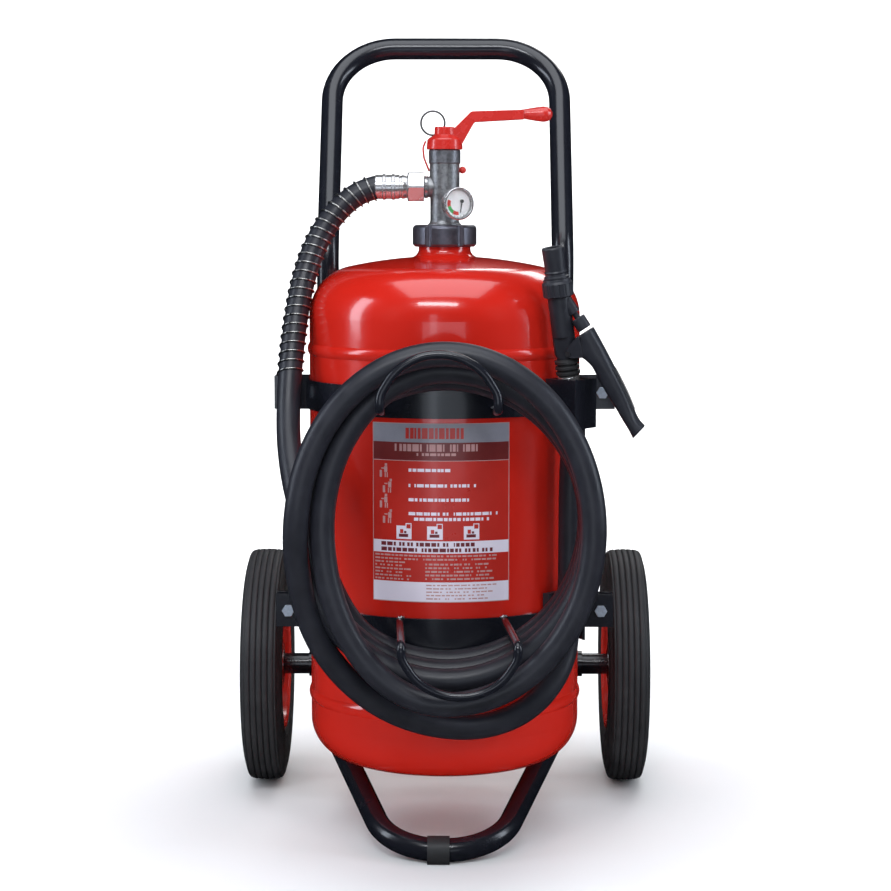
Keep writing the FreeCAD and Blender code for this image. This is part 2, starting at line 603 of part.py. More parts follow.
riser_radii = cord_radii(RISER_POINTS)
tail_route = TAIL_POINTS + [gun_location(0, GUN_INLET_Z - GUN_HOSE_RUN), gun_location(0, GUN_INLET_Z)]
tail_radii = cord_radii(tail_route)
print("riser radii", [round(radius) for radius in riser_radii])
print("tail radii", [round(radius) for radius in tail_radii])

guard_end = (RISER_POINTS[GUARD_POINTS - 1] + RISER_POINTS[GUARD_POINTS]) * 0.5
guard_route = RISER_POINTS[:GUARD_POINTS] + [guard_end]
guard_radii = riser_radii[:GUARD_POINTS - 1]
guard_outer = rod(guard_route, guard_radii, GUARD_R, "hose_guard")
guard_inner = rod(guard_route, guard_radii, HOSE_D / 2 + 0.05, "hose_guard bore")

parts["hose_riser"] = rod(RISER_POINTS, riser_radii, HOSE_D / 2, "hose_riser")
parts["hose_guard"] = guard_outer.cut(guard_inner)
parts["hose_tail"] = rod(tail_route, tail_radii, HOSE_D / 2, "hose_tail")


def oval(half_width, half_height, y):
    """A closed oval facing the front: an ellipse standing on its long axis."""
    middle = V(COIL_X, y, COIL_Z)
    curve = Part.Ellipse(middle + Z_AXIS * half_height, middle + X_AXIS * half_width, middle)
    return Part.Wire(curve.toShape())


def oval_loft(front_half_width, front_half_height, back_half_width, back_half_height):
    front = oval(front_half_width, front_half_height, COIL_FRONT_Y)
    back = oval(back_half_width, back_half_height, COIL_BACK_Y)
    return Part.makeLoft([front, back], True, True)


coil_outside = oval_loft(COIL_HALF_WIDTH, COIL_FRONT_HALF_HEIGHT, COIL_HALF_WIDTH, COIL_BACK_HALF_HEIGHT)
coil_inside = oval_loft(COIL_HALF_WIDTH - 40, COIL_FRONT_HALF_HEIGHT - 36,
                        COIL_HALF_WIDTH - 40, COIL_BACK_HALF_HEIGHT - 25)
parts["hose_coil"] = coil_outside.cut(coil_inside)


# ================================================================ bands, hoops and holders
def band_half(z, side):
    """Half a clamp band with its two turned-out ears; side is -1 at the front, +1 at the back."""
    low, high = V(0, 0, z - BAND_WIDTH / 2), V(0, 0, z + BAND_WIDTH / 2)
    ring = tube(BAND_R + BAND_SHEET, BAND_R, low, high)
    keep = box(600, 300, 200, V(0, side * (150 + EAR_GAP / 2), z))
    half = ring.common(keep)
    ear_y = side * (EAR_GAP / 2 + BAND_SHEET / 2)
    pieces = [half]
    for hand in (-1, 1):
        reach = BAND_SHEET + EAR_REACH
        centre = V(hand * (BAND_R + reach / 2), ear_y, z)
        pieces.append(box(reach, BAND_SHEET, BAND_WIDTH + 5, centre))
    solid = join(pieces)
    for hand in (-1, 1):
        bolt_x = hand * (BAND_R + BAND_SHEET + EAR_BOLT_REACH)
        solid = solid.cut(cylinder(4.2, V(bolt_x, -60, z), V(bolt_x, 60, z)))
    return solid


def band_fastener(hand, z):
    """One M8 bolt and its nut; the head is on the front ear."""
    x = hand * (BAND_R + BAND_SHEET + EAR_BOLT_REACH)
    face = EAR_GAP / 2 + BAND_SHEET
    head = hexagon(13, V(x, -face - 5.3, z), V(x, -face, z))
    shank = cylinder(4.0, V(x, -face - 1, z), V(x, face + 26, z))
    nut = hexagon(13, V(x, face, z), V(x, face + 6.5, z)).cut(
        cylinder(4.05, V(x, face - 1, z), V(x, face + 8, z)))
    return [join([head, shank]), nut]


fasteners = []
for band_name, band_z in (("upper", BAND_HIGH_Z), ("lower", BAND_LOW_Z)):
    parts["band_" + band_name + "_front"] = band_half(band_z, -1)
    parts["band_" + band_name + "_rear"] = band_half(band_z, 1)
    for hand in (-1, 1):
        fasteners += band_fastener(hand, band_z)
parts["band_fasteners"] = Part.makeCompound(fasteners)


def hoop(foot_x, foot_half, foot_z, front_x, front_half, shoulder_z, tip_z):
    """Round bar bent into a hoop: two feet on the band, forward, then up or down round a bow."""
    foot_y = 2 - math.sqrt((BAND_R + BAND_SHEET) ** 2 - (foot_half - abs(foot_x)) ** 2)
    points = [V(foot_x - foot_half, foot_y, foot_z), V(front_x - front_half, HOOP_FRONT_Y, shoulder_z)]
    swell = 1 / math.cos(math.radians(15))
    for turn in (165, 135, 105, 75, 45, 15):
        angle = math.radians(turn)
        points.append(V(front_x + front_half * swell * math.cos(angle), HOOP_FRONT_Y,
                        shoulder_z + (tip_z - shoulder_z) * swell * math.sin(angle)))
    points += [V(front_x + front_half, HOOP_FRONT_Y, shoulder_z), V(foot_x + foot_half, foot_y, foot_z)]
    return rod(points, cord_radii(points), HOOP_WIRE_R, "hoop")


band_outside = cylinder(BAND_R + BAND_SHEET, V(0, 0, 0), V(0, 0, 700))
parts["hoop_upper"] = hoop(-5.5, 65, 513, -4, 64, 526, 586).cut(band_outside)
parts["hoop_lower"] = hoop(9.8, 60.4, 271, 18.5, 64, 268, 211).cut(band_outside)


def oriented_box(radial, tangential, height, outward, z):
    """A box at the holders, square to the tank's radius, resting with its middle at outward."""
    block = box(radial, tangential, height, ORIGIN)
    block.rotate(ORIGIN, Z_AXIS, HOLDER_AZIMUTH)
    block.translate(holder_point(z, outward))
    return block


holder_z = HOLDER_TOP_Z - HOLDER_HEIGHT / 2
holder_inside = HOLDER_SIZE - 2 * HOLDER_SHEET
holder_shift = BAND_R + BAND_SHEET + HOLDER_SIZE / 2 - HOLDER_RADIUS
parts["nozzle_holder"] = oriented_box(HOLDER_SIZE, HOLDER_SIZE, HOLDER_HEIGHT, holder_shift, holder_z).cut(
    oriented_box(holder_inside, holder_inside, HOLDER_HEIGHT + 4, holder_shift, holder_z)).cut(band_outside)

clip_z = CLIP_TOP_Z - CLIP_HEIGHT / 2
clip_outer = cylinder(HOSE_D / 2 + 4.0, holder_point(CLIP_TOP_Z - CLIP_HEIGHT), holder_point(CLIP_TOP_Z))
clip_inner = cylinder(HOSE_D / 2 + 1.0, holder_point(0), holder_point(CLIP_TOP_Z + 10))
clip_mouth = oriented_box(40, 22, CLIP_HEIGHT + 4, 24, clip_z)
clip_plate = oriented_box(10, 44, CLIP_HEIGHT, BAND_R + BAND_SHEET + 2 - HOLDER_RADIUS, clip_z)
parts["hose_clip"] = join([clip_outer, clip_plate]).cut(clip_inner).cut(clip_mouth).cut(band_outside)


# ================================================================ nozzle gun
PIVOT_X, PIVOT_Z = 6.2, 31.1
PLUNGER_TILT = 27.0
PLUNGER_TOP = (9.0, 90.0)
GUN_BARREL_R = 13.0


def upright(radii):
    return turned_along(radii, ORIGIN, Z_AXIS)


plunger_axis = V(math.sin(math.radians(PLUNGER_TILT)), 0, -math.cos(math.radians(PLUNGER_TILT)))
plunger_start = V(PLUNGER_TOP[0], 0, PLUNGER_TOP[1])


def on_plunger(distance):
    return plunger_start + plunger_axis * distance


def gun_body():
    """Barrel with a side branch for the plunger and flats for the lever's ears."""
    barrel = upright([(24, 10.5), (30, GUN_BARREL_R), (98, GUN_BARREL_R)])
    branch = cylinder(7.0, on_plunger(-4), on_plunger(16))
    solid = join([barrel, branch])
    for side in (-1, 1):
        solid = solid.cut(box(60, 10, 36, V(0, side * 14.6, PIVOT_Z + 1)))
    solid = solid.cut(cylinder(2.02, V(PIVOT_X, -20, PIVOT_Z), V(PIVOT_X, 20, PIVOT_Z)))
    return solid.cut(cylinder(3.5 + RUNNING_GAP, on_plunger(-1), on_plunger(40)))


def gun_collar():
    """Ribbed union collar between barrel and tip."""
    ring = upright([(96, 15), (97.5, 17.6), (112, 17.6), (114.5, 15.8), (117, 15.2)])
    for index in range(16):
        groove = at_azimuth(18.3, 22.5 * index, 98)
        ring = ring.cut(cylinder(1.3, groove, groove + Z_AXIS * 14))
    return ring.cut(cylinder(GUN_BARREL_R, V(0, 0, 90), V(0, 0, 98))).cut(
        cylinder(11, V(0, 0, 97), V(0, 0, 120)))


def gun_lever():
    """Squeeze lever: two ears on the pivot, a bowed grip and a flared end."""
    outer_bow = (V(56.4, 0, 2), V(72.2, 0, -47))
    inner_bow = (V(45.5, 0, -19), V(27, 0, 20))
    side = [V(4.6, 0, PIVOT_Z + 3), V(7, 0, 38.5), V(13, 0, 48.4), V(35.2, 0, 58.2), outer_bow,
            (V(75, 0, -56), V(80.5, 0, -64)), V(68.5, 0, -73.5),
            (V(65.5, 0, -65), V(61, 0, -54)), inner_bow,
            V(15, 0, 24.6), V(9, 0, 25.2), (V(4.6, 0, 28.4), V(4.6, 0, PIVOT_Z + 3))]
    grip = Part.Face(outline(side)).extrude(V(0, 25, 0))
    grip.translate(V(0, -12.5, 0))
    slot = box(40, 20.2, 70, V(3, 0, PIVOT_Z + 6))
    mouth = cylinder(12.9, V(0, 0, -20), V(0, 0, 70))
    bellows_room = cylinder(17.4, V(0, 0, -30), V(0, 0, 24.5))
    grip = grip.cut(slot).cut(mouth).cut(bellows_room)
    return grip.cut(cylinder(2 + RUNNING_GAP, V(PIVOT_X, -20, PIVOT_Z), V(PIVOT_X, 20, PIVOT_Z)))


def gun_plunger():
    """Spring plunger that the lever draws out of the branch, with its cap."""
    shaft = cylinder(3.5, on_plunger(0), on_plunger(26))
    cap = turned_along([(22.5, 7.6), (23.5, 8.4), (36.5, 8.4), (37.5, 7.4)], plunger_start, plunger_axis)
    return join([shaft, cap]).cut(cylinder(GUN_BARREL_R + 0.4, V(0, 0, 40), V(0, 0, 96)).cut(
        cylinder(4.2, on_plunger(-2), on_plunger(40))))


bellows_radii = [(4, 11.6)]
for index in range(3):
    start_z = 4.6 + 6.4 * index
    bellows_radii += [(start_z, 11.6), (start_z + 1.2, 14.0), (start_z + 4.4, 14.0), (start_z + 5.6, 11.6)]
bellows_radii.append((24, 11.6))

gun_parts = {
    "gun_ferrule": upright([(GUN_INLET_Z, 12.6), (GUN_INLET_Z + 2, 13.2), (2.6, 13.2), (4, 11.9)]),
    "gun_bellows": upright(bellows_radii),
    "gun_body": gun_body(),
    "gun_collar": gun_collar(),
    "gun_tip": upright([(98, 10.9), (117, 10.9), (117, 14.2), (119.5, 14.2), (120.5, 12.6), (123, 12.2),
                        (124.5, 13.2), (126.5, 12.1), (151.5, 12.9), (153, 12.2)]).cut(
        turned_along([(0, 6.5), (34, 8.5)], V(0, 0, 124), Z_AXIS)),
    "gun_pivot_pin": join([cylinder(2.0, V(PIVOT_X, -12.5, PIVOT_Z), V(PIVOT_X, 12.5, PIVOT_Z)),
                           cylinder(3.2, V(PIVOT_X, -13.8, PIVOT_Z), V(PIVOT_X, -12.55, PIVOT_Z)),
                           cylinder(3.2, V(PIVOT_X, 12.55, PIVOT_Z), V(PIVOT_X, 13.8, PIVOT_Z))]),
    "gun_lever": gun_lever(),
    "gun_plunger": gun_plunger(),
}
for node, shape in gun_parts.items():
    parts[node] = gun_place(shape)


# ================================================================ frame and axle
def handle_frame():
    """One bent tube: two legs, a bend backwards at each shoulder and the push handle."""
    points = [V(-LEG_X, LEG_Y, LEG_FOOT_Z), V(-LEG_X, LEG_Y, LEG_BEND_Z), V(-LEG_X, HANDLE_Y, HANDLE_Z),
              V(LEG_X, HANDLE_Y, HANDLE_Z), V(LEG_X, LEG_Y, LEG_BEND_Z), V(LEG_X, LEG_Y, LEG_FOOT_Z)]
    radii = [LEG_BEND_R, HANDLE_CORNER_R, HANDLE_CORNER_R, LEG_BEND_R]
    return rod(points, radii, TUBE_R, "handle_frame")


def foot_loop():
    """One bent tube under the tank that ends in the resting foot at the front."""
    points = [V(-LEG_X, LEG_Y, LEG_FOOT_Z), V(-LEG_X, LEG_Y, HEEL_Z), V(-TOE_X, FOOT_TIP_Y, FOOT_TIP_Z),
              V(TOE_X, FOOT_TIP_Y, FOOT_TIP_Z), V(LEG_X, LEG_Y, HEEL_Z), V(LEG_X, LEG_Y, LEG_FOOT_Z)]
    return rod(points, [HEEL_BEND_R, TOE_BEND_R, TOE_BEND_R, HEEL_BEND_R], TUBE_R, "foot_loop")


parts["handle_frame"] = handle_frame()
parts["foot_loop"] = foot_loop()

BRACKET_SHEET = 6.0


def axle_bracket(hand):
    """Welded plate that ties a leg to the axle tube behind it."""
    x = hand * LEG_X - BRACKET_SHEET / 2
    side = [V(x, LEG_Y + TUBE_R - 1, AXLE_Z + 62), V(x, LEG_Y + TUBE_R - 1, AXLE_Z - 40),
            V(x, AXLE_Y - 20, AXLE_Z - 22), (V(x, AXLE_Y + 22, AXLE_Z - 5), V(x, AXLE_Y + 10, AXLE_Z + 22))]
    plate = Part.Face(outline(side)).extrude(V(BRACKET_SHEET, 0, 0))
    leg_tube = cylinder(TUBE_R, V(hand * LEG_X, LEG_Y, HEEL_Z), V(hand * LEG_X, LEG_Y, LEG_BEND_Z))
    axle_tube = cylinder(AXLE_TUBE_R, V(-300, AXLE_Y, AXLE_Z), V(300, AXLE_Y, AXLE_Z))
    return plate.cut(leg_tube).cut(axle_tube)


parts["axle_brackets"] = Part.makeCompound([axle_bracket(-1), axle_bracket(1)])


def axle_point(x):
    return V(x, AXLE_Y, AXLE_Z)


INNER_FACE = WHEEL_X - HUB_HALF - 0.4
OUTER_FACE = WHEEL_X + HUB_HALF + 0.4


def axle():
    """Cross tube with a thicker collar each side and a turned stub for each wheel."""
    pieces = [cylinder(AXLE_TUBE_R, axle_point(-INNER_FACE), axle_point(INNER_FACE)),
              cylinder(STUB_R, axle_point(-OUTER_FACE), axle_point(OUTER_FACE))]
    for hand in (-1, 1):
        pieces.append(cylinder(AXLE_COLLAR_R, axle_point(hand * 166), axle_point(hand * 178)))
    solid = join(pieces)
    for hand in (-1, 1):
        thread_end = axle_point(hand * (OUTER_FACE - 24))
        solid = solid.cut(cylinder(5.0, thread_end, axle_point(hand * (OUTER_FACE + 1))))
    return solid


def axle_end_bolt(hand):
    """Cap screw with a large hexagonal socket, in the end of the stub, that keeps the wheel on."""
    head = turned_along([(0, 16.4), (4.6, 16.4), (5.8, 15.2)], axle_point(hand * OUTER_FACE), X_AXIS * hand)
    shank = cylinder(4.98, axle_point(hand * (OUTER_FACE - 23)), axle_point(hand * (OUTER_FACE + 1)))
    socket = hexagon(21.5, axle_point(hand * (OUTER_FACE + 1.6)), axle_point(hand * (OUTER_FACE + 8)))
    return join([head, shank]).cut(socket)


parts["axle_tube"] = axle()
parts["axle_end_bolts"] = Part.makeCompound([axle_end_bolt(-1), axle_end_bolt(1)])


# ================================================================ wheels
def tyre():
    """Solid rubber tyre about X, centred on its own middle plane."""
    half = TYRE_HALF_WIDTH
    steps = [V(RIM_R - 8, 0, -9), V(RIM_R - 1, 0, -19.5), V(RIM_R + 3, 0, -half + 2.5),
             (V(112, 0, -half), V(132, 0, -half + 0.8)), (V(143, 0, -half + 2.2), V(148, 0, -half + 6.5)),
             (V(WHEEL_R, 0, 0), V(148, 0, half - 6.5)), (V(143, 0, half - 2.2), V(132, 0, half - 0.8)),
             (V(112, 0, half), V(RIM_R + 3, 0, half - 2.5)), V(RIM_R - 1, 0, 19.5), V(RIM_R - 8, 0, 9)]
    return turned(steps)


def rim_disc(side):
    """One pressed disc of a wheel: rolled lip, dished web, bolt circle and domed hub."""
    sheet = 2.6
    middle = [(RIM_R - 0.5, 20.6), (RIM_R - 4, 22.6), (RIM_R - 9.5, 20.0), (RIM_R - 12.5, 11.5),
              (70, 5.2), (62, 2.2), (48, 2.2), (43.5, 4.2), (38, 12.5), (31, 18.2), (27, 19.0),
              (HUB_R + 1.3, 19.0)]
    outer = [V(radius, 0, side * (across + sheet / 2)) for radius, across in middle]
    inner = [V(radius, 0, side * (across - sheet / 2)) for radius, across in middle]
    return turned(outer + inner[::-1]).cut(Part.makeCylinder(HUB_R, 60, V(0, 0, -30)))


def wheel_group(hand):
    """Wheel parts on their axis, before they are laid over onto the axle."""
    discs = Part.makeCompound([rim_disc(1), rim_disc(-1)])
    bush = Part.makeCylinder(HUB_R, 2 * HUB_HALF, V(0, 0, -HUB_HALF)).cut(
        Part.makeCylinder(STUB_R + RUNNING_GAP, 60, V(0, 0, -30)))
    bolts = []
    holes = []
    up = Z_AXIS
    for index in range(6):
        centre = at_azimuth(BOLT_CIRCLE_R, 60 * index + BOLT_TURN, 0)
        holes.append(cylinder(4.1, centre - up * 10, centre + up * 10))
        head = hexagon(13, centre + up * 3.6, centre + up * 9.2)
        shank = cylinder(4.0, centre - up * 13, centre + up * 4)
        nut = hexagon(13, centre - up * 10.1, centre - up * 3.6).cut(
            cylinder(4.05, centre - up * 14, centre))
        bolts += [join([head, shank]), nut]
    discs = discs.cut(Part.makeCompound(holes))
    group = {"tyre": tyre(), "rim_discs": discs, "hub_bush": bush, "rim_bolts": Part.makeCompound(bolts)}
    laid = {}
    for name, shape in group.items():
        copy = shape.copy()
        copy.rotate(ORIGIN, Y_AXIS, 90 * hand)
        copy.translate(axle_point(hand * WHEEL_X))
        laid[name] = copy
    return laid


for hand_name, hand in (("left", -1), ("right", 1)):
    for name, shape in wheel_group(hand).items():
        parts[name + "_" + hand_name] = shape


# ================================================================ stance
def leaned(shape):
    copy = shape.copy()
    copy.rotate(axle_point(0), X_AXIS, -LEAN)
    return copy


parts = {name: leaned(shape) for name, shape in parts.items()}


def foot_clip():
    """Clip pressed over the tip of the foot loop; its flat underside stands on the floor."""
    tip = leaned(Part.Vertex(V(0, FOOT_TIP_Y, FOOT_TIP_Z))).Point
    low_x, high_x = FOOT_CLIP_X - 13.0, FOOT_CLIP_X + 13.0
    sleeve = cylinder(TUBE_R + 2.6, V(low_x, tip.y, tip.z), V(high_x, tip.y, tip.z))
    sole = box(high_x - low_x, 20, 12, V(FOOT_CLIP_X, tip.y, 6))
    below = box(200, 200, 100, V(0, tip.y, -50))
    return join([sleeve, sole]).cut(below).cut(parts["foot_loop"])


parts["foot_clip"] = foot_clip()

CORD_NODES = ("hose_riser", "hose_coil", "hose_tail", "hose_guard")
solid_shapes = [shape for name, shape in parts.items() if name not in CORD_NODES]
solid_box = Part.makeCompound(solid_shapes).optimalBoundingBox(False, False)
origin_shift = V(-solid_box.Center.x, -solid_box.Center.y, -solid_box.ZMin)

os.makedirs("parts", exist_ok=True)
for name, shape in parts.items():
    shape.translate(origin_shift)
    if not shape.isValid():
        print("CHECK", name, "is not valid")
    shape.exportStep("parts/" + name + ".step")

print("size", [round(value, 1) for value in (solid_box.XLength, solid_box.YLength, solid_box.ZLength)])
print("origin shift", [round(value, 2) for value in origin_shift])
print(len(parts), "parts")


def report_joint(label, point, direction):
    """Print a joint's place and axis in the final frame, in metres."""
    tilt = FreeCAD.Rotation(X_AXIS, -LEAN)
    placed = tilt.multVec(point - axle_point(0)) + axle_point(0) + origin_shift
    axis = tilt.multVec(direction)
    print("JOINT", label, [round(value / 1000, 6) for value in placed], [round(value, 6) for value in axis])


report_joint("wheel", axle_point(0), X_AXIS)
report_joint("valve_lever", V(0, 0, OUTLET_Z), Z_AXIS)
report_joint("safety_pin", at_azimuth(PIN_CIRCLE_R, PIN_AZIMUTH, CAP_Z), Z_AXIS)
report_joint("pull_ring", ring_geometry()[0], ring_tangent())
report_joint("gauge_needle", pivot_low, at_azimuth(1, GAUGE_AZIMUTH, 0))
report_joint("gun_lever", gun_location(PIVOT_X, PIVOT_Z), gun_direction(Y_AXIS))
report_joint("gun_plunger", gun_location(plunger_start.x, plunger_start.z), gun_direction(plunger_axis))
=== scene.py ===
import bpy
import math
import random
from mathutils import Matrix, Vector


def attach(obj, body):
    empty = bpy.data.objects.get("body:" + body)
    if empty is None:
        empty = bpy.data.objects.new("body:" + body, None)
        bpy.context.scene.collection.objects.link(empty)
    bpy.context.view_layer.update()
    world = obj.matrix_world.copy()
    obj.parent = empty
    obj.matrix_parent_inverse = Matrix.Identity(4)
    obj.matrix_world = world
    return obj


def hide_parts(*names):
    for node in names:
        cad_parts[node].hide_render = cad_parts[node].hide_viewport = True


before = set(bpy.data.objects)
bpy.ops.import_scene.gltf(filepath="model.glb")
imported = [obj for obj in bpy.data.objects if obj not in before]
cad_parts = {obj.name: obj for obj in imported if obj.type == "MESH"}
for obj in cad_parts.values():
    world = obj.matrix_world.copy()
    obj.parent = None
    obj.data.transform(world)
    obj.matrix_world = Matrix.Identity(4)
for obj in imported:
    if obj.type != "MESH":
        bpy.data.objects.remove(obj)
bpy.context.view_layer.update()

# Looks of the wheeled fire extinguisher: camera, finishes, hose, tyres, label, gauge, squeeze
# lever, weld beads and studio. Points in millimetres are given in the upright frame of the tank,
# whose axis is x = y = 0 with z from the floor; place() leans them back with the rest of the unit.

random.seed(7)

# ---------------------------------------------------------------- stance of the unit
LEAN = math.radians(2.5)
AXLE = Vector((0.0, 202.0, 150.0))
ORIGIN_SHIFT_Y = -32.06
TANK_R = 162.0


def place(x, y, z):
    """A point of the upright unit in mm, where it stands in the scene in metres."""
    back, up = y - AXLE.y, z - AXLE.z
    new_y = AXLE.y + back * math.cos(LEAN) + up * math.sin(LEAN) + ORIGIN_SHIFT_Y
    new_z = AXLE.z - back * math.sin(LEAN) + up * math.cos(LEAN)
    return Vector((x, new_y, new_z)) / 1000.0


def round_tank(radius, azimuth, z):
    """A point at a distance from the tank axis; azimuth -90 degrees is the front."""
    angle = math.radians(azimuth)
    return place(radius * math.cos(angle), radius * math.sin(angle), z)


# ---------------------------------------------------------------- camera
FOCAL_MM = 93.0
camera_data = bpy.data.cameras.new("camera")
camera_data.lens = FOCAL_MM
camera_data.sensor_width = 36.0
camera = bpy.data.objects.new("camera", camera_data)
bpy.context.scene.collection.objects.link(camera)
camera.location = (0.02, -2.766, 0.877)
aim = Vector((0.001, 0.0, 0.4636))
camera.rotation_euler = (aim - camera.location).to_track_quat("-Z", "Y").to_euler()
bpy.context.scene.camera = camera


# ================================================================ node materials
def new_material(name):
    """A new material with its nodes, its links and its shader."""
    material = bpy.data.materials.new(name)
    material.use_nodes = True
    nodes = material.node_tree.nodes
    shader = nodes["Principled BSDF"]
    return material, nodes, material.node_tree.links, shader


def noise(nodes, links, scale, detail=4.0, roughness=0.55):
    """A noise texture on the object's own coordinates, in metres."""
    coords = nodes.new("ShaderNodeTexCoord")
    texture = nodes.new("ShaderNodeTexNoise")
    texture.inputs["Scale"].default_value = scale
    texture.inputs["Detail"].default_value = detail
    texture.inputs["Roughness"].default_value = roughness
    links.new(coords.outputs["Object"], texture.inputs["Vector"])
    return texture


def ramp(nodes, links, source, stops):
    """A colour ramp of (position, colour or grey level) stops."""
    node = nodes.new("ShaderNodeValToRGB")
    elements = node.color_ramp.elements
    while len(elements) < len(stops):
        elements.new(0.5)
    for element, (position, value) in zip(elements, stops):
        element.position = position
        element.color = (value, value, value, 1) if isinstance(value, float) else (*value, 1)
    links.new(source, node.inputs["Fac"])
    return node.outputs["Color"]


def tinted(color, factor):
    """A colour made darker or lighter by a factor."""
    return tuple(min(1.0, channel * factor) for channel in color)


finishes = {}


def finish(name, color, roughness, spread, metallic=0.0, *, grain, vary, bump=0.0, bump_scale=900.0,
           bump_depth=0.0002, edge=0.0, coat=0.0, coat_roughness=0.05):
    """Adds a finish whose colour, gloss and relief vary with noise; edge rounds corners, in metres."""
    material, nodes, links, shader = new_material(name)
    shader.inputs["Metallic"].default_value = metallic
    shader.inputs["Coat Weight"].default_value = coat
    shader.inputs["Coat Roughness"].default_value = coat_roughness
    broad = noise(nodes, links, grain)
    tones = [(0.30, tinted(color, 1 - vary)), (0.70, tinted(color, 1 + vary))]
    links.new(ramp(nodes, links, broad.outputs["Fac"], tones), shader.inputs["Base Color"])
    gloss = [(0.30, max(0.02, roughness - spread)), (0.72, roughness + spread)]
    links.new(ramp(nodes, links, broad.outputs["Fac"], gloss), shader.inputs["Roughness"])
    normal = None
    if edge > 0:
        rounded = nodes.new("ShaderNodeBevel")
        rounded.samples = 6
        rounded.inputs["Radius"].default_value = edge
        normal = rounded.outputs["Normal"]
    if bump > 0:
        fine = noise(nodes, links, bump_scale, detail=3.0)
        relief = nodes.new("ShaderNodeBump")
        relief.inputs["Strength"].default_value = bump
        relief.inputs["Distance"].default_value = bump_depth
        links.new(fine.outputs["Fac"], relief.inputs["Height"])
        if normal is not None:
            links.new(normal, relief.inputs["Normal"])
        normal = relief.outputs["Normal"]
    if normal is not None:
        links.new(normal, shader.inputs["Normal"])
    finishes[name] = material


RED = (0.60, 0.017, 0.009)
BLACK = (0.0085, 0.0095, 0.0145)
finish("red_enamel", RED, 0.20, 0.03, grain=9, vary=0.035, bump=0.10, bump_scale=160,
       bump_depth=0.0004, coat=0.6, coat_roughness=0.07)
finish("red_lever", (0.56, 0.022, 0.016), 0.27, 0.05, grain=60, vary=0.05, bump=0.14, bump_scale=330,
       bump_depth=0.0004, edge=0.0012, coat=0.4, coat_roughness=0.12)
finish("rim_red", (0.60, 0.022, 0.012), 0.25, 0.05, grain=40, vary=0.06, bump=0.10, bump_scale=400,
       edge=0.0010, coat=0.4, coat_roughness=0.10)
finish("black_coat", BLACK, 0.25, 0.03, grain=30, vary=0.08, bump=0.03, bump_scale=200,
       bump_depth=0.0003, edge=0.0008, coat=0.3, coat_roughness=0.14)
finish("zinc_steel", (0.62, 0.70, 0.80), 0.36, 0.08, 0.8, grain=300, vary=0.14, bump=0.08,
       bump_scale=2200, bump_depth=0.0001, edge=0.0005)
finish("black_steel", (0.030, 0.032, 0.036), 0.34, 0.06, 0.6, grain=240, vary=0.2, bump=0.08,
       bump_scale=1600, bump_depth=0.0001, edge=0.0006)
finish("spring_steel", (0.46, 0.45, 0.43), 0.30, 0.08, 1.0, grain=420, vary=0.2)
finish("nickel", (0.66, 0.65, 0.66), 0.25, 0.03, 0.85, grain=90, vary=0.06, edge=0.0006)
finish("grey_casting", (0.32, 0.325, 0.335), 0.42, 0.09, 0.85, grain=300, vary=0.30, bump=0.38,
       bump_scale=900, bump_depth=0.0005, edge=0.0012)
finish("grey_collar", (0.22, 0.225, 0.245), 0.42, 0.08, 0.8, grain=260, vary=0.30, bump=0.30,
       bump_scale=900, bump_depth=0.0004, edge=0.0010)
finish("dark_nut", (0.135, 0.137, 0.165), 0.40, 0.07, 0.85, grain=140, vary=0.16, bump=0.16,
       bump_scale=800, bump_depth=0.0003, edge=0.0014)
finish("ring_steel", (0.11, 0.11, 0.12), 0.38, 0.06, 0.9, grain=300, vary=0.15, bump=0.05,
       bump_scale=1500, bump_depth=0.0001)
finish("bright_steel", (0.60, 0.60, 0.61), 0.22, 0.06, 1.0, grain=200, vary=0.08, edge=0.0005)
finish("hose_rubber", (0.0175, 0.0185, 0.026), 0.41, 0.05, grain=45, vary=0.16, bump=0.12,
       bump_scale=900, bump_depth=0.0002)
finish("black_plastic", (0.020, 0.0215, 0.029), 0.42, 0.05, grain=90, vary=0.12, bump=0.10,
       bump_scale=1500, bump_depth=0.0002, edge=0.0010)
finish("clip_rubber", (0.026, 0.027, 0.029), 0.52, 0.05, grain=90, vary=0.14, bump=0.2,
       bump_scale=1500, edge=0.0010)
finish("seal_red", (0.55, 0.03, 0.022), 0.30, 0.04, grain=160, vary=0.10, bump=0.06)
finish("gasket_rubber", (0.34, 0.02, 0.015), 0.5, 0.05, grain=200, vary=0.1, bump=0.06)
finish("pale_plastic", (0.72, 0.72, 0.69), 0.4, 0.05, grain=200, vary=0.05, bump=0.05)
finish("powder", (0.80, 0.78, 0.70), 0.9, 0.05, grain=900, vary=0.10, bump=0.5, bump_scale=2500)
finish("needle_black", (0.015, 0.015, 0.016), 0.4, 0.05, grain=300, vary=0.1, bump=0.04)
finish("dial_white", (0.93, 0.92, 0.92), 0.42, 0.03, grain=120, vary=0.02, bump=0.03)
finish("dial_red", (0.62, 0.03, 0.02), 0.42, 0.03, grain=120, vary=0.04, bump=0.03)
finish("dial_green", (0.05, 0.40, 0.10), 0.42, 0.03, grain=120, vary=0.04, bump=0.03)
finish("weld_steel", (0.55, 0.56, 0.58), 0.30, 0.10, 0.9, grain=900, vary=0.4, bump=0.5,
       bump_scale=1800, bump_depth=0.0004)
finish("label_red", (0.52, 0.024, 0.016), 0.30, 0.03, grain=30, vary=0.04, bump=0.05, bump_scale=300,
       coat=0.3, coat_roughness=0.12)
finish("label_white", (0.82, 0.76, 0.88), 0.32, 0.03, grain=30, vary=0.03, bump=0.05, bump_scale=300,
       coat=0.3, coat_roughness=0.12)
finish("label_deep", (0.17, 0.020, 0.020), 0.32, 0.04, grain=60, vary=0.08, bump=0.05, bump_scale=300,
       coat=0.3, coat_roughness=0.12)
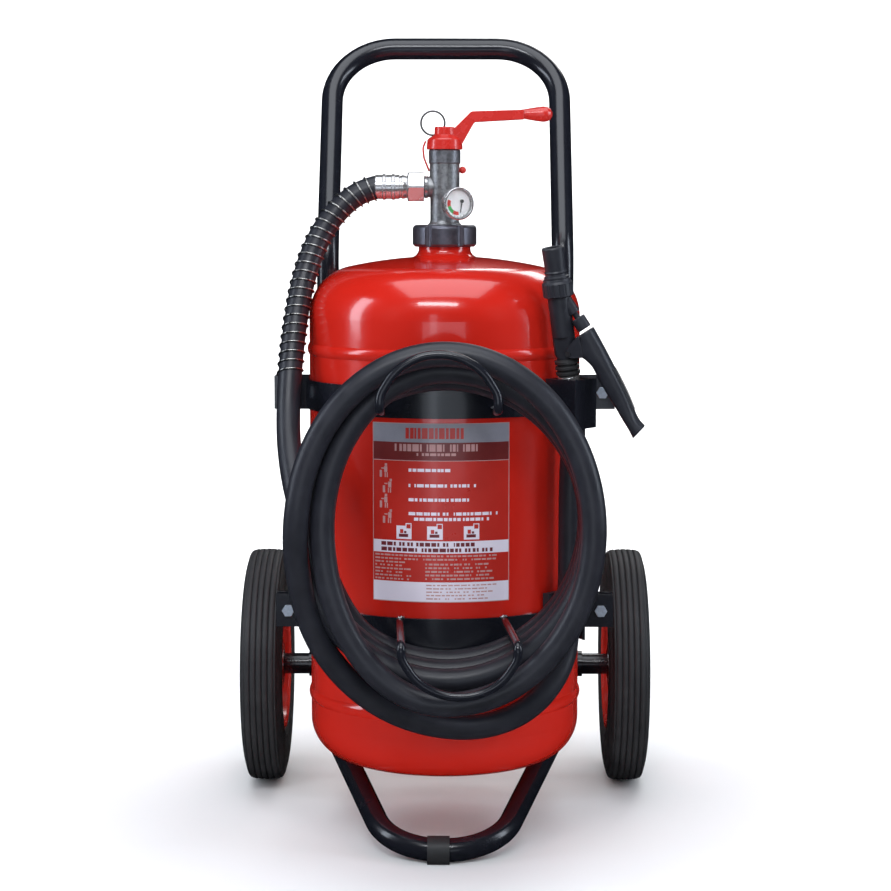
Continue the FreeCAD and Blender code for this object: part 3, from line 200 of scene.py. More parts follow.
finish("label_grey", (0.28, 0.28, 0.33), 0.34, 0.04, grain=60, vary=0.08, bump=0.05, bump_scale=300,
       coat=0.3, coat_roughness=0.12)
finish("label_ink", (0.16, 0.02, 0.03), 0.34, 0.03, grain=60, vary=0.08, bump=0.05, bump_scale=300)
finish("label_pale_ink", (0.55, 0.30, 0.30), 0.34, 0.03, grain=90, vary=0.1, bump=0.05,
       bump_scale=300)


def tyre_material():
    """Dusty charcoal rubber, in cloudy darker and paler patches."""
    material, nodes, links, shader = new_material("tyre_rubber")
    shader.inputs["Specular IOR Level"].default_value = 0.4
    cloud = noise(nodes, links, 22.0, detail=8.0, roughness=0.62)
    tones = [(0.25, (0.022, 0.0225, 0.025)), (0.55, (0.032, 0.0325, 0.035)),
             (0.80, (0.050, 0.050, 0.052))]
    links.new(ramp(nodes, links, cloud.outputs["Fac"], tones), shader.inputs["Base Color"])
    gloss = [(0.3, 0.50), (0.75, 0.66)]
    links.new(ramp(nodes, links, cloud.outputs["Fac"], gloss), shader.inputs["Roughness"])
    fine = noise(nodes, links, 1400.0, detail=3.0)
    relief = nodes.new("ShaderNodeBump")
    relief.inputs["Strength"].default_value = 0.25
    relief.inputs["Distance"].default_value = 0.0003
    links.new(fine.outputs["Fac"], relief.inputs["Height"])
    links.new(relief.outputs["Normal"], shader.inputs["Normal"])
    return material


def glass_material():
    """Clear, faintly uneven glass that bends light little."""
    material, nodes, links, shader = new_material("lens_glass")
    shader.inputs["Base Color"].default_value = (0.97, 0.985, 0.99, 1)
    shader.inputs["Transmission Weight"].default_value = 1.0
    shader.inputs["IOR"].default_value = 1.12
    faint = noise(nodes, links, 80.0)
    gloss = [(0.3, 0.0), (0.8, 0.02)]
    links.new(ramp(nodes, links, faint.outputs["Fac"], gloss), shader.inputs["Roughness"])
    return material


finishes["tyre_rubber"] = tyre_material()
finishes["lens_glass"] = glass_material()

NODE_FINISH = {
    "red_enamel": ["tank_top", "tank_shell", "tank_bottom"],
    "red_lever": ["valve_lever"],
    "rim_red": ["rim_discs_left", "rim_discs_right"],
    "black_coat": ["handle_frame", "foot_loop", "axle_tube", "axle_brackets", "band_upper_front",
                   "band_upper_rear", "band_lower_front", "band_lower_rear", "hoop_upper", "hoop_lower",
                   "nozzle_holder"],
    "zinc_steel": ["band_fasteners", "rim_bolts_left", "rim_bolts_right", "lever_screw"],
    "black_steel": ["axle_end_bolts"],
    "spring_steel": ["hose_guard"],
    "nickel": ["outlet_adapter", "hose_nut", "hose_ferrule", "gauge_case", "gun_ferrule", "safety_pin"],
    "ring_steel": ["pull_ring", "gun_pivot_pin"],
    "grey_casting": ["valve_body"],
    "dark_nut": ["valve_ring_nut"],
    "grey_collar": ["valve_bonnet"],
    "bright_steel": ["valve_stem", "valve_ball", "hub_bush_left", "hub_bush_right"],
    "hose_rubber": ["hose_riser", "hose_coil", "hose_tail"],
    "tyre_rubber": ["tyre_left", "tyre_right"],
    "black_plastic": ["hose_clip", "gun_body", "gun_tip", "gun_collar", "gun_lever", "gun_plunger"],
    "clip_rubber": ["foot_clip", "gun_bellows"],
    "seal_red": ["tamper_seal"],
    "gasket_rubber": ["neck_gasket"],
    "pale_plastic": ["ball_seats", "siphon_tube"],
    "powder": ["powder_charge"],
    "dial_white": ["gauge_dial"],
    "lens_glass": ["gauge_lens"],
    "needle_black": ["gauge_needle"],
    "label_red": ["label_panel"],
}
for finish_name, node_names in NODE_FINISH.items():
    for node_name in node_names:
        node_object = bpy.data.objects[node_name]
        if node_object.material_slots:
            for material_slot in node_object.material_slots:
                material_slot.material = finishes[finish_name]
        else:
            node_object.data.materials.append(finishes[finish_name])


# ================================================================ mesh helpers
def add_mesh(name, vertices, faces, materials, body, slot_name, indices=None, smooth=True):
    """A mesh piece that rides on a body, finished with the given materials; slot_name is not used."""
    mesh = bpy.data.meshes.new(name)
    mesh.from_pydata([tuple(vertex) for vertex in vertices], [], faces)
    for material in materials:
        mesh.materials.append(finishes[material])
    if indices:
        for polygon, index in zip(mesh.polygons, indices):
            polygon.material_index = index
    for polygon in mesh.polygons:
        polygon.use_smooth = smooth
    mesh.validate()
    mesh.update()
    piece = bpy.data.objects.new(name, mesh)
    bpy.context.scene.collection.objects.link(piece)
    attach(piece, body)
    return piece


def ring_points(point, side, other, radius, sides):
    """Points of a ring around a point, in the plane of two directions."""
    ring = []
    for step in range(sides):
        angle = 2 * math.pi * step / sides
        out = side * (radius * math.cos(angle)) + other * (radius * math.sin(angle))
        ring.append(point + out)
    return ring


def tube_faces(ring_count, sides):
    """Faces of a tube of rings, closed at both ends."""
    faces = []
    for ring in range(ring_count - 1):
        low, high = ring * sides, (ring + 1) * sides
        for step in range(sides):
            following = (step + 1) % sides
            faces.append((low + step, low + following, high + following, high + step))
    faces.append(tuple(range(sides))[::-1])
    faces.append(tuple(range((ring_count - 1) * sides, ring_count * sides)))
    return faces


def sweep(points, radii, sides, up):
    """Vertices and faces of a round tube along points; up is a direction never along the path."""
    vertices = []
    for index, (point, radius) in enumerate(zip(points, radii)):
        before = points[max(0, index - 1)]
        after = points[min(len(points) - 1, index + 1)]
        along = (after - before).normalized()
        side = along.cross(up).normalized()
        vertices += ring_points(point, side, along.cross(side), radius, sides)
    return vertices, tube_faces(len(points), sides)


def lathe(profile, steps, base, axis, start):
    """Vertices and faces of an open profile of (radius, distance) turned about an axis."""
    axis = axis.normalized()
    start = (start - axis * start.dot(axis)).normalized()
    other = axis.cross(start)
    vertices, faces = [], []
    for step in range(steps):
        angle = 2 * math.pi * step / steps
        out = start * math.cos(angle) + other * math.sin(angle)
        for radius, distance in profile:
            vertices.append(base + axis * distance + out * radius)
    size = len(profile)
    for step in range(steps):
        low, high = step * size, ((step + 1) % steps) * size
        for index in range(size - 1):
            faces.append((low + index, high + index, high + index + 1, low + index + 1))
    return vertices, faces


# ================================================================ hose
HOSE_D = 0.028
RISER_POINTS = [(-80, 0, 768), (-97, 0, 763.5), (-113, -2, 753.5), (-128, -4.5, 739.5),
                (-141.5, -8, 722), (-152.5, -13, 702), (-161.5, -20, 679), (-168.5, -29, 653),
                (-173.5, -41, 624), (-177.5, -54, 592), (-180.5, -68, 556), (-182, -84, 516),
                (-181, -102, 478), (-176, -126, 446), (-169, -148, 418), (-161, -163, 396)]
TAIL_POINTS = [(-160, -236, 322), (-142, -228, 262), (-108, -215, 213), (-62, -203, 176),
               (-8, -192, 156), (48, -180, 152), (97, -163, 168), (131, -140, 202),
               (146.7, -116.7, 244), (146.7, -116.7, 438), (151.1, -112.9, 494.8),
               (147.1, -116.3, 524.4)]
COIL_X, COIL_Z = 2.5, 391.0
# depth and reach at the left, bottom, right and top of each turn
COIL_QUARTERS = [(-164, 163), (-177, 164), (-180, 164.5), (-177, 166),
                 (-190, 164), (-203, 170), (-209, 164.5), (-203, 165),
                 (-217, 164), (-231, 175), (-238, 164.5), (-229, 175),
                 (-246, 137), (-260, 196), (-267, 164.5), (-251, 195),
                 (-258, 165)]
POINTS_PER_TURN = 16
SPLINE_SWELL = 1.012        # the spline runs just inside its control points


def coil_points():
    """Four turns wound from back to front: down on the left and up on the right."""
    points = []
    quarter_steps = POINTS_PER_TURN // 4
    last = (len(COIL_QUARTERS) - 1) * quarter_steps
    for index in range(2, last + 1):
        quarter, part = divmod(index, quarter_steps)
        blend = part / quarter_steps
        here = COIL_QUARTERS[quarter]
        following = COIL_QUARTERS[min(quarter + 1, len(COIL_QUARTERS) - 1)]
        depth = here[0] + (following[0] - here[0]) * blend
        angle = math.pi / 2 * (quarter + blend)
        across, upright = here[1], following[1]
        if quarter % 2 == 1:
            across, upright = upright, across
        points.append((COIL_X - math.cos(angle) * across * SPLINE_SWELL, depth,
                       COIL_Z - math.sin(angle) * upright * SPLINE_SWELL))
    return points


def nurbs_curve(name, points):
    """A curve of one open NURBS spline with these control points, in metres."""
    curve = bpy.data.curves.new(name, "CURVE")
    curve.dimensions = "3D"
    spline = curve.splines.new("NURBS")
    spline.points.add(len(points) - 1)
    for control, point in zip(spline.points, points):
        control.co = (*point, 1.0)
    spline.order_u = 3
    spline.use_endpoint_u = True
    spline.resolution_u = 8
    return curve


def curve_line(curve):
    """Points along a curve that has no bevel, as Blender evaluates it."""
    probe = bpy.data.objects.new("probe", curve)
    mesh = bpy.data.meshes.new_from_object(probe)
    line = [vertex.co.copy() for vertex in mesh.vertices]
    bpy.data.objects.remove(probe)
    bpy.data.meshes.remove(mesh)
    return line


hose_route = [place(*point) for point in RISER_POINTS + coil_points() + TAIL_POINTS]
hose_curve = nurbs_curve("hose", hose_route)
hose_line = curve_line(hose_curve)
hose_curve.bevel_depth = HOSE_D / 2
hose_curve.bevel_resolution = 12
hose_curve.use_fill_caps = True
hose_curve.materials.append(finishes["hose_rubber"])
hose = bpy.data.objects.new("hose", hose_curve)
bpy.context.scene.collection.objects.link(hose)
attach(hose, "root")
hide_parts("hose_riser", "hose_coil", "hose_tail")


def path_reader(line):
    """A function that gives the point and direction at a distance along a line of points."""
    marks = [0.0]
    for before, after in zip(line, line[1:]):
        marks.append(marks[-1] + (after - before).length)

    def read(distance):
        index = 0
        while index < len(marks) - 2 and marks[index + 1] < distance:
            index += 1
        along = line[index + 1] - line[index]
        share = (distance - marks[index]) / max(1e-9, marks[index + 1] - marks[index])
        return line[index] + along * share, along.normalized()

    return read


# ---------------------------------------------------------------- bend guard: a spring round the hose
GUARD_START, GUARD_LENGTH = 0.006, 0.268
GUARD_PITCH = 0.0112
GUARD_WIRE_R = 0.0010
GUARD_COIL_R = HOSE_D / 2 + GUARD_WIRE_R + 0.0001
STEPS_PER_COIL = 22


def spring_line():
    """Points of the spring's wire, wound round the hose."""
    read = path_reader(hose_line)
    sideways = Vector((0, 1, 0))
    turns = GUARD_LENGTH / GUARD_PITCH
    points = []
    for step in range(int(turns * STEPS_PER_COIL) + 1):
        angle = 2 * math.pi * step / STEPS_PER_COIL
        centre, along = read(GUARD_START + GUARD_PITCH * step / STEPS_PER_COIL)
        side = along.cross(sideways).normalized()
        other = along.cross(side)
        points.append(centre + side * (GUARD_COIL_R * math.cos(angle))
                      + other * (GUARD_COIL_R * math.sin(angle)))
    return points


def sweep_free(points, radius, sides):
    """A tube along a winding path, with each ring turned on from the one before."""
    vertices = []
    side = None
    for index, point in enumerate(points):
        before = points[max(0, index - 1)]
        after = points[min(len(points) - 1, index + 1)]
        along = (after - before).normalized()
        if side is None:
            side = along.orthogonal().normalized()
        side = (side - along * side.dot(along)).normalized()
        vertices += ring_points(point, side, along.cross(side), radius, sides)
    return vertices, tube_faces(len(points), sides)


guard_mesh = sweep_free(spring_line(), GUARD_WIRE_R, 8)
hose_spring = add_mesh("hose_spring", *guard_mesh, ["spring_steel"], "root", "spring_steel")
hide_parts("hose_guard")

# ================================================================ tyres
TREAD_RIBS = 5
SIDEWALL_RINGS = 5


def tyre_profile():
    """Section of a tyre as (radius, side) in mm, from one bead round the tread to the other."""
    outer = [(78, 9), (80, 14), (85, 19.5), (87.5, 22.6), (89, 23.6)]
    for ridge in (92, 96.5):
        outer += [(ridge - 0.9, 24.0), (ridge, 25.2), (ridge + 0.9, 25.3), (ridge + 1.8, 24.2)]
    outer += [(102, 25.0), (110, 25.7), (117, 25.6), (122, 25.2)]
    for ridge in range(SIDEWALL_RINGS):
        radius = 126.0 + 3.6 * ridge
        fall = 0.35 * ridge ** 1.6
        outer += [(radius - 0.7, 24.6 - fall), (radius + 0.1, 25.5 - fall), (radius + 1.5, 25.4 - fall),
                  (radius + 2.3, 24.4 - fall)]
    outer += [(144.0, 21.8), (146.4, 20.6), (147.6, 19.2)]
    tread = []
    half_width, groove = 18.6, 1.5
    rib = 2 * half_width / TREAD_RIBS
    for index in range(TREAD_RIBS):
        high, low = half_width - rib * index, half_width - rib * (index + 1)
        crown = [149.9 - 1.5 * (abs(side) / half_width) ** 2 for side in (high, low)]
        tread += [(crown[0] - 3.4, high - groove * 0.35), (crown[0] - 0.5, high - groove * 0.55),
                  (crown[0], high - groove), (crown[1], low + groove),
                  (crown[1] - 0.5, low + groove * 0.55), (crown[1] - 3.4, low + groove * 0.35)]
    mirrored = [(radius, -side) for radius, side in outer[::-1]]
    return outer + tread + mirrored


WHEEL_X = 232.0
TYRE_STEPS = 160
for hand_name, hand in (("left", -1), ("right", 1)):
    profile = [(radius / 1000, side / 1000) for radius, side in tyre_profile()]
    profile.append(profile[0])
    centre = place(hand * WHEEL_X, AXLE.y, AXLE.z)
    tyre_mesh = lathe(profile, TYRE_STEPS, centre, Vector((1, 0, 0)), Vector((0, 0, 1)))
    tyre = add_mesh("ribbed_tyre_" + hand_name, *tyre_mesh, ["tyre_rubber"], "wheel_" + hand_name,
                    "tyre_rubber")
    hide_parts("tyre_" + hand_name)

# ================================================================ label
LABEL_LOW_Z, LABEL_HIGH_Z = 294.0, 500.0
LABEL_HALF_ANGLE, LABEL_MIDDLE = 28.8, -91.2
LABEL_WIDTH = math.radians(2 * LABEL_HALF_ANGLE) * TANK_R
LABEL_HEIGHT = LABEL_HIGH_Z - LABEL_LOW_Z
LABEL_LIFT = 0.30           # of the lowest layer of print above the tank
LABEL_LAYER = 0.035         # from one layer of print to the next
LABEL_COLUMN = 5.0          # widest flat strip of the curved label
LABEL_EDGE = 0.9            # pale line round the label
LABEL_RIGHT = LABEL_WIDTH - LABEL_EDGE
DASH_SHORTEST, DASH_SPREAD = 3.0, 7.0
DASH_GAP = 1.3
label_vertices, label_faces, label_indices = [], [], []
LABEL_MATERIALS = ["label_red", "label_white", "label_grey", "label_deep", "label_ink",
                   "label_pale_ink"]


def stroke(left, top, right, bottom, material, layer):
    """A curved rectangle of print, in mm from the label's left edge and down from its upper edge."""
    low, high = LABEL_HEIGHT - bottom, LABEL_HEIGHT - top
    radius = TANK_R + LABEL_LIFT + LABEL_LAYER * layer
    columns = max(1, int((right - left) / LABEL_COLUMN))
    first = len(label_vertices)
    for column in range(columns + 1):
        across = left + (right - left) * column / columns
        azimuth = LABEL_MIDDLE - LABEL_HALF_ANGLE + 2 * LABEL_HALF_ANGLE * across / LABEL_WIDTH
        label_vertices.append(round_tank(radius, azimuth, LABEL_LOW_Z + low))
        label_vertices.append(round_tank(radius, azimuth, LABEL_LOW_Z + high))
    for column in range(columns):
        base = first + 2 * column
        label_faces.append((base, base + 2, base + 3, base + 1))
        label_indices.append(LABEL_MATERIALS.index(material))


def row_of_text(left, right, top, thickness, material, layer, ragged=0.0):
    """A row of short dashes that stands for text without being lettering; ragged varies its end."""
    here = left
    end = right - random.random() * ragged * (right - left)
    while here < end - 2:
        dash = DASH_SHORTEST + DASH_SPREAD * random.random()
        stroke(here, top, min(here + dash, end), top + thickness, material, layer)
        here += dash + DASH_GAP


def user_sign(left, top, lean):
    """A small pale figure of a person bending over a bottle, in blocks."""
    stroke(left + 7 + lean, top, left + 10 + lean, top + 3, "label_pale_ink", 2)
    stroke(left + 6 + lean * 0.5, top + 3.4, left + 10 + lean * 0.5, top + 10, "label_pale_ink", 2)
    stroke(left + 2, top + 5, left + 6, top + 6.4, "label_pale_ink", 2)
    stroke(left + 6.4, top + 10.4, left + 7.8, top + 16, "label_pale_ink", 2)
    stroke(left + 9.0, top + 10.4, left + 10.4, top + 16, "label_pale_ink", 2)
    stroke(left, top + 8, left + 3, top + 16, "label_pale_ink", 2)


def fire_sign(left, top):
    """A pale box with a fuel block and a flame, and a small blank tab at its corner."""
    stroke(left, top + 3, left + 18, top + 18.3, "label_white", 2)
    stroke(left + 11, top, left + 18, top + 7, "label_white", 2)
    stroke(left + 12, top + 1, left + 17, top + 6, "label_red", 3)
    stroke(left + 3, top + 12.4, left + 14, top + 16, "label_ink", 3)
    stroke(left + 4.4, top + 7, left + 8.2, top + 11.6, "label_red", 3)
    stroke(left + 9.2, top + 9, left + 12.0, top + 11.6, "label_ink", 3)


stroke(0, 0, LABEL_WIDTH, LABEL_HEIGHT, "label_pale_ink", 0)
stroke(LABEL_EDGE, LABEL_EDGE, LABEL_RIGHT, LABEL_HEIGHT - LABEL_EDGE, "label_red", 1)
stroke(LABEL_EDGE, LABEL_EDGE, LABEL_RIGHT, 22, "label_grey", 2)
row_of_text(41, 111, 5.4, 12.4, "label_red", 3)
stroke(LABEL_EDGE, 22, LABEL_RIGHT, 42.6, "label_deep", 2)
row_of_text(28, 124, 24.0, 8.2, "label_pale_ink", 3)
row_of_text(54, 99, 34.2, 3.0, "label_pale_ink", 3)
stroke(LABEL_EDGE, 42.6, LABEL_RIGHT, 43.4, "label_pale_ink", 3)
for sign in range(4):
    user_sign(9 + 4 * (sign % 2), 47 + 17.6 * sign, 1.5 if sign % 2 else -0.5)
for row_left, row_right, row_top in ((44.6, 94, 52), (44.6, 122, 69.7), (44.6, 114, 86),
                                     (44.6, 148, 102), (51, 138, 108.2)):
    row_of_text(row_left, row_right, row_top, 3.6, "label_white", 2)
for box_left in (30, 66, 108):
    fire_sign(box_left, 115)
stroke(LABEL_EDGE, 135.2, LABEL_RIGHT, 149.4, "label_white", 2)
row_of_text(11, 123, 137.0, 4.4, "label_ink", 3)
row_of_text(11, 142, 143.4, 4.4, "label_ink", 3)
for row in range(2):
    row_of_text(3, 150, 151.4 + 4.0 * row, 1.9, "label_pale_ink", 2, 0.05)
for row in range(6):
    row_of_text(3, 54, 159.4 + 3.9 * row, 1.8, "label_pale_ink", 2, 0.35)
for row in range(5):
    row_of_text(64, 157, 161.0 + 4.2 * row, 2.0, "label_pale_ink", 2, 0.25)
stroke(LABEL_EDGE, 182.6, LABEL_RIGHT, LABEL_HEIGHT - LABEL_EDGE, "label_white", 2)
for row in range(5):
    row_of_text(65, 152, 185.4 + 3.9 * row, 1.5, "label_pale_ink", 3, 0.25)
label = add_mesh("label_print", label_vertices, label_faces, LABEL_MATERIALS, "root", "label_film",
                 label_indices)
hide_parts("label_panel")

# ================================================================ pressure gauge dial
GAUGE_AZIMUTH, GAUGE_Z, GAUGE_R = -65.0, 748.0, 19.3
DIAL_DISTANCE = 36.85       # of the printed face from the valve's axis
DIAL_LAYER = 0.04           # from one layer of print to the next
DIAL_STEP = 8.0             # widest straight step of a ring, in degrees
gauge_angle = math.radians(GAUGE_AZIMUTH)
gauge_out = Vector((math.cos(gauge_angle), math.sin(gauge_angle), 0))
gauge_side = Vector((-gauge_out.y, gauge_out.x, 0))
dial_vertices, dial_faces, dial_indices = [], [], []
DIAL_MATERIALS = ["dial_white", "dial_red", "dial_green", "needle_black"]


def dial_point(across, up, layer):
    """A point of the dial's face, in mm from its middle; higher layers lie further out."""
    spot = gauge_out * (DIAL_DISTANCE + DIAL_LAYER * layer) + gauge_side * across
    return place(spot.x, spot.y, GAUGE_Z + up)


def dial_sector(inner, outer, start, end, material, layer):
    """A part of a ring on the dial; angles in degrees, 0 to the right and 90 up."""
    steps = max(2, int(abs(end - start) / DIAL_STEP))
    first = len(dial_vertices)
    for step in range(steps + 1):
        angle = math.radians(start + (end - start) * step / steps)
        for radius in (inner, outer):
            dial_vertices.append(dial_point(radius * math.cos(angle), radius * math.sin(angle), layer))
    for step in range(steps):
        base = first + 2 * step
        dial_faces.append((base, base + 1, base + 3, base + 2))
        dial_indices.append(DIAL_MATERIALS.index(material))


dial_sector(0.05, GAUGE_R - 2.4, 0, 360, "dial_white", 0)
for sector_start, sector_end, sector_material in ((158, 194, "dial_red"), (194, 240, "dial_green"),
                                                  (240, 276, "dial_red")):
    dial_sector(9.2, 13.4, sector_start, sector_end, sector_material, 1)
for tick in range(11):
    middle = 150 + 15 * tick
    dial_sector(14.4, 15.8, middle - 1.0, middle + 1.0, "needle_black", 1)
dial_sector(16.0, 16.35, 0, 360, "needle_black", 1)
dial = add_mesh("gauge_face", dial_vertices, dial_faces, DIAL_MATERIALS, "root", "dial_paint",
                dial_indices)
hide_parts("gauge_dial")

# ================================================================ squeeze lever of the gun
GUN_AZIMUTH, GUN_LEAN, GUN_LEAN_AZIMUTH = -19.0, 9.9, -140.0
GUN_BASE = Vector((143.98, -118.91, 548.0))
lean_axis_angle = math.radians(GUN_LEAN_AZIMUTH + 90)
lean_axis = Vector((math.cos(lean_axis_angle), math.sin(lean_axis_angle), 0))
gun_turn = Matrix.Rotation(math.radians(GUN_LEAN), 3, lean_axis)
gun_turn = gun_turn @ Matrix.Rotation(math.radians(GUN_AZIMUTH), 3, "Z")


def gun_point(x, y, z):
    """A point in the gun's own frame in mm: its barrel along Z, its lever towards +X."""
    return place(*(gun_turn @ Vector((x, y, z)) + GUN_BASE))


# outer and inner edge of the grip as (x, z) in the gun's frame, and half its width
GRIP_STATIONS = [((34.8, 57.4), (14.4, 47.1), 11.6), ((36.4, 55.8), (13.9, 45.5), 12.4),
                 ((42.2, 42.5), (13.9, 35.5), 12.5), ((46.8, 31.5), (14.8, 28.0), 12.5),
                 ((50.6, 21.5), (21.5, 23.0), 12.4), ((55.2, 9.5), (30.0, 13.6), 12.1),
                 ((59.9, -2.5), (35.4, 0.0), 11.7), ((64.2, -14.0), (40.6, -13.0), 11.3),
                 ((68.3, -26.0), (46.6, -26.0), 11.0), ((71.9, -39.0), (53.6, -40.0), 11.0),
                 ((74.4, -49.0), (59.4, -52.5), 11.4), ((77.4, -55.6), (64.0, -61.5), 11.9),
                 ((81.2, -60.4), (67.3, -69.5), 12.3), ((81.8, -61.9), (68.4, -73.0), 12.2),
                 ((80.8, -63.4), (69.2, -73.6), 11.3)]
EAR_OUTLINE = [(24.0, 50.6), (14.4, 46.2), (7.4, 39.2), (4.2, 35.4), (3.4, 31.6), (4.6, 28.0),
               (7.4, 25.9), (12.0, 25.4), (24.0, 25.4)]
EAR_MIDDLE = Vector((14.0, 36.0))
EAR_LAYERS = [(10.25, 0.0), (12.1, 0.0), (12.42, 0.4)]  # distance from the middle plane, inset
STIPPLE_STATIONS = slice(62, 112, 2)                    # the middle stretch of the grip
STIPPLE_COLUMNS, STIPPLE_PITCH = 7, 2.2
STIPPLE_HALF_WIDTH = 7.0


def smooth_stations(stations, parts):
    """More stations between the given ones, on Catmull-Rom curves."""
    flat = [(*outer, *inner, width) for outer, inner, width in stations]
    result = []
    last = len(flat) - 1
    for index in range(last):
        four = [flat[max(0, index - 1)], flat[index], flat[index + 1], flat[min(last, index + 2)]]
        for part in range(parts):
            t = part / parts
            weights = (0.5 * (-t + 2 * t ** 2 - t ** 3), 0.5 * (2 - 5 * t ** 2 + 3 * t ** 3),
                       0.5 * (t + 4 * t ** 2 - 3 * t ** 3), 0.5 * (t ** 3 - t ** 2))
            result.append([sum(w * item[k] for w, item in zip(weights, four)) for k in range(5)])
    result.append(list(flat[-1]))
    return result


def grip_mesh():
    """Lofted grip: rounded boxes between the outer and the inner edge of each station."""
    vertices = []
    ring_size, power = 32, 0.74
    stations = smooth_stations(GRIP_STATIONS, 4)
    for outer_x, outer_z, inner_x, inner_z, half_width in stations:
        for step in range(ring_size):
            angle = 2 * math.pi * step / ring_size
            cosine, sine = math.cos(angle), math.sin(angle)
            through = math.copysign(abs(cosine) ** power, cosine)
            across = math.copysign(abs(sine) ** power, sine)
            share = 0.5 + 0.5 * through
            vertices.append(gun_point(inner_x + (outer_x - inner_x) * share, half_width * across,
                                      inner_z + (outer_z - inner_z) * share))
    return vertices, tube_faces(len(stations), ring_size)


def ear_mesh(vertices, faces, side):
    """One flat cheek of the lever beside the barrel, from the grip down to the pivot."""
    base = len(vertices)
    for out, inset in EAR_LAYERS:
        for x, z in EAR_OUTLINE:
            toward = (EAR_MIDDLE - Vector((x, z))).normalized() * inset
            vertices.append(gun_point(x + toward.x, side * out, z + toward.y))
    size = len(EAR_OUTLINE)
    faces.append(tuple(range(base, base + size))[::side])
    faces.append(tuple(range(base + 2 * size, base + 3 * size))[::-side])
    for level in range(len(EAR_LAYERS) - 1):
        low, high = base + level * size, base + (level + 1) * size
        for index in range(size):
            following = (index + 1) % size
            faces.append((low + index, low + following, high + following, high + index)[::side])


grip_vertices, grip_faces = grip_mesh()
grip_face_count = len(grip_faces)
for ear_side in (-1, 1):
    ear_mesh(grip_vertices, grip_faces, ear_side)
gun_grip = add_mesh("squeeze_lever", grip_vertices, grip_faces, ["black_plastic"], "gun_grip",
                    "black_plastic")
for polygon in list(gun_grip.data.polygons)[grip_face_count:]:
    polygon.use_smooth = False
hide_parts("gun_lever")


def grip_panel():
    """Stippled panel on the outer face of the grip: rows of small raised dots."""
    vertices, faces = [], []
    stations = smooth_stations(GRIP_STATIONS, 12)
    first_y = -STIPPLE_PITCH * (STIPPLE_COLUMNS - 1) / 2
    for row, station in enumerate(stations[STIPPLE_STATIONS]):
        outer_x, outer_z, inner_x, inner_z, _ = station
        toward = Vector((inner_x - outer_x, inner_z - outer_z)).normalized()
        stagger = STIPPLE_PITCH / 2 if row % 2 else 0.0
        for column in range(STIPPLE_COLUMNS):
            y = first_y + STIPPLE_PITCH * column + stagger
            if abs(y) > STIPPLE_HALF_WIDTH:
                continue
            base = len(vertices)
            for lift, size in ((0.35, 0.85), (-0.35, 0.5)):
                for corner_x, corner_y in ((-1, -1), (1, -1), (1, 1), (-1, 1)):
                    vertices.append(gun_point(outer_x + toward.x * lift - toward.y * corner_x * size,
                                              y + corner_y * size,
                                              outer_z + toward.y * lift + toward.x * corner_x * size))
            faces.append((base + 4, base + 5, base + 6, base + 7))
            for corner in range(4):
                following = (corner + 1) % 4
                faces.append((base + corner, base + following, base + 4 + following, base + 4 + corner))
    return vertices, faces


add_mesh("grip_stipple", *grip_panel(), ["black_plastic"], "gun_grip", "black_plastic", smooth=False)

# ================================================================ weld beads
BAND_OUTER_R = 166.2
WELD_POINTS = 9
WELD_LENGTH, WELD_THICKNESS = 0.009, 0.0022
HOOP_FEET = (("upper", -5.5, 65, 513), ("lower", 9.8, 60.4, 271))  # middle, half width, height in mm


def weld(name, centre, along):
    """A short lumpy bead of weld metal, along a direction that is not upright."""
    along = along.normalized()
    points, radii = [], []
    for index in range(WELD_POINTS):
        share = index / (WELD_POINTS - 1)
        wobble = Vector([random.uniform(-1, 1) for _ in range(3)]) * WELD_THICKNESS * 0.12
        points.append(centre + along * (WELD_LENGTH * (share - 0.5)) + wobble)
        swell = 0.35 + 0.65 * math.sin(math.pi * share)
        radii.append(WELD_THICKNESS * swell * random.uniform(0.85, 1.1))
    add_mesh(name, *sweep(points, radii, 8, Vector((0, 0, 1))), ["weld_steel"], "root", "zinc_steel")


for hoop_name, foot_x, foot_half, foot_z in HOOP_FEET:
    for side_name, hand in (("left", -1), ("right", 1)):
        x = foot_x + hand * foot_half
        y = -math.sqrt(BAND_OUTER_R ** 2 - x ** 2) - 0.8
        spot = place(x - hand * 1.5, y, foot_z + 5.0)
        weld(f"weld_hoop_{hoop_name}_{side_name}", spot, Vector((1, 0.1, 0.15)))

# ================================================================ studio
FLOOR_HALF, FLOOR_FRONT_Y, WALL_Y, WALL_HEIGHT, COVE_R = 6.0, -6.0, 3.2, 6.0, 1.6
COVE_STEPS = 12


def studio_floor():
    """Pale floor that sweeps up behind the unit without a corner."""
    profile = [(FLOOR_FRONT_Y, 0.0), (WALL_Y - COVE_R, 0.0)]
    for step in range(1, COVE_STEPS + 1):
        angle = math.pi / 2 * step / COVE_STEPS
        profile.append((WALL_Y - COVE_R + COVE_R * math.sin(angle), COVE_R * (1 - math.cos(angle))))
    profile.append((WALL_Y, WALL_HEIGHT))
    vertices, faces = [], []
    for y, z in profile:
        vertices += [(-FLOOR_HALF, y, z), (FLOOR_HALF, y, z)]
    for index in range(len(profile) - 1):
        base = 2 * index
        faces.append((base, base + 1, base + 3, base + 2))
    mesh = bpy.data.meshes.new("studio_floor")
    mesh.from_pydata(vertices, [], faces)
    for polygon in mesh.polygons:
        polygon.use_smooth = True
    floor = bpy.data.objects.new("studio_floor", mesh)
    bpy.context.scene.collection.objects.link(floor)
    material, nodes, links, shader = new_material("studio_paper")
    paper = noise(nodes, links, 2.0)
    tones = [(0.3, (0.92, 0.92, 0.92)), (0.7, (0.94, 0.94, 0.94))]
    links.new(ramp(nodes, links, paper.outputs["Fac"], tones), shader.inputs["Base Color"])
    shader.inputs["Roughness"].default_value = 0.9
    mesh.materials.append(material)
    floor.visible_glossy = False


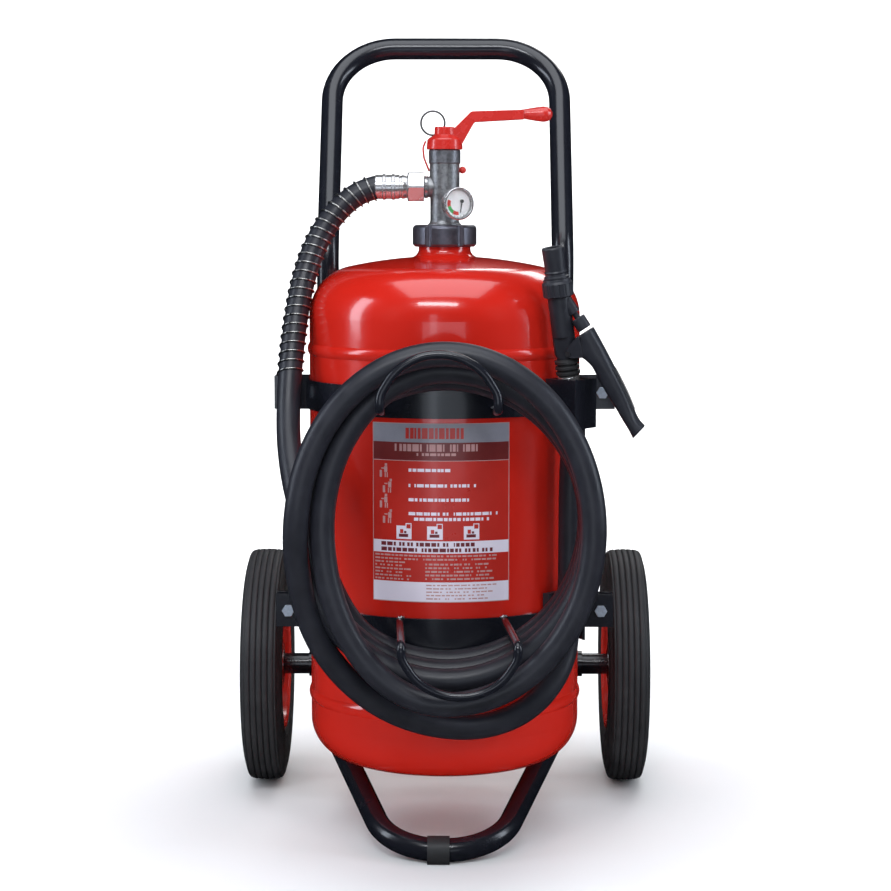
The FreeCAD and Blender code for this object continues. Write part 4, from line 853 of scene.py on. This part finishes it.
def softbox(name, location, target, size_x, size_y, power, color, glossy=True):
    """A rectangular light aimed at a target; glossy lets surfaces mirror it."""
    light_data = bpy.data.lights.new(name, "AREA")
    light_data.color = color
    light_data.shape = "RECTANGLE"
    light_data.size, light_data.size_y = size_x, size_y
    light_data.energy = power
    light = bpy.data.objects.new(name, light_data)
    light.location = location
    light.rotation_euler = (Vector(target) - Vector(location)).to_track_quat("-Z", "Y").to_euler()
    light.visible_glossy = glossy
    bpy.context.scene.collection.objects.link(light)


studio_floor()
world = bpy.data.worlds.new("studio")
world.use_nodes = True
world.node_tree.nodes["Background"].inputs["Color"].default_value = (1.0, 1.0, 1.0, 1)
world.node_tree.nodes["Background"].inputs["Strength"].default_value = 0.20
world.cycles_visibility.glossy = False
bpy.context.scene.world = world
PALE_COOL, COOL_WHITE, WHITE = (0.90, 0.94, 1.0), (0.80, 0.88, 1.0), (1.0, 1.0, 1.0)
softbox("key", (-0.25, -2.2, 2.35), (0, 0, 0.55), 1.5, 0.35, 28, (0.92, 0.95, 1.0))
softbox("front_strip", (-0.45, -3.1, 0.75), (0, 0, 0.5), 0.30, 1.5, 2.5, COOL_WHITE)
softbox("front_low", (0.0, -2.9, 0.45), (0, 0, 0.35), 1.8, 0.4, 3.5, COOL_WHITE)
softbox("right", (2.3, -0.5, 1.3), (0, 0, 0.5), 0.5, 1.7, 18, COOL_WHITE)
softbox("left", (-2.3, -0.5, 1.3), (0, 0, 0.5), 0.5, 1.7, 18, COOL_WHITE)
softbox("fill_right", (2.0, -2.0, 1.5), (0, 0, 0.5), 0.8, 1.5, 9, WHITE, glossy=False)
softbox("fill_left", (-2.0, -2.0, 1.5), (0, 0, 0.5), 0.8, 1.5, 9, WHITE, glossy=False)
softbox("top", (0.0, -0.5, 3.0), (0, -0.1, 0.6), 2.4, 2.2, 46, PALE_COOL)
softbox("rear", (0.8, 2.4, 2.2), (0, 0, 0.5), 1.6, 0.6, 14, WHITE)
softbox("backdrop_left", (-1.6, 1.3, 1.6), (-0.6, 3.2, 0.9), 1.0, 1.6, 48, WHITE, glossy=False)
softbox("backdrop_right", (1.6, 1.3, 1.6), (0.6, 3.2, 0.9), 1.0, 1.6, 48, WHITE, glossy=False)
bpy.context.scene.view_settings.view_transform = "Standard"
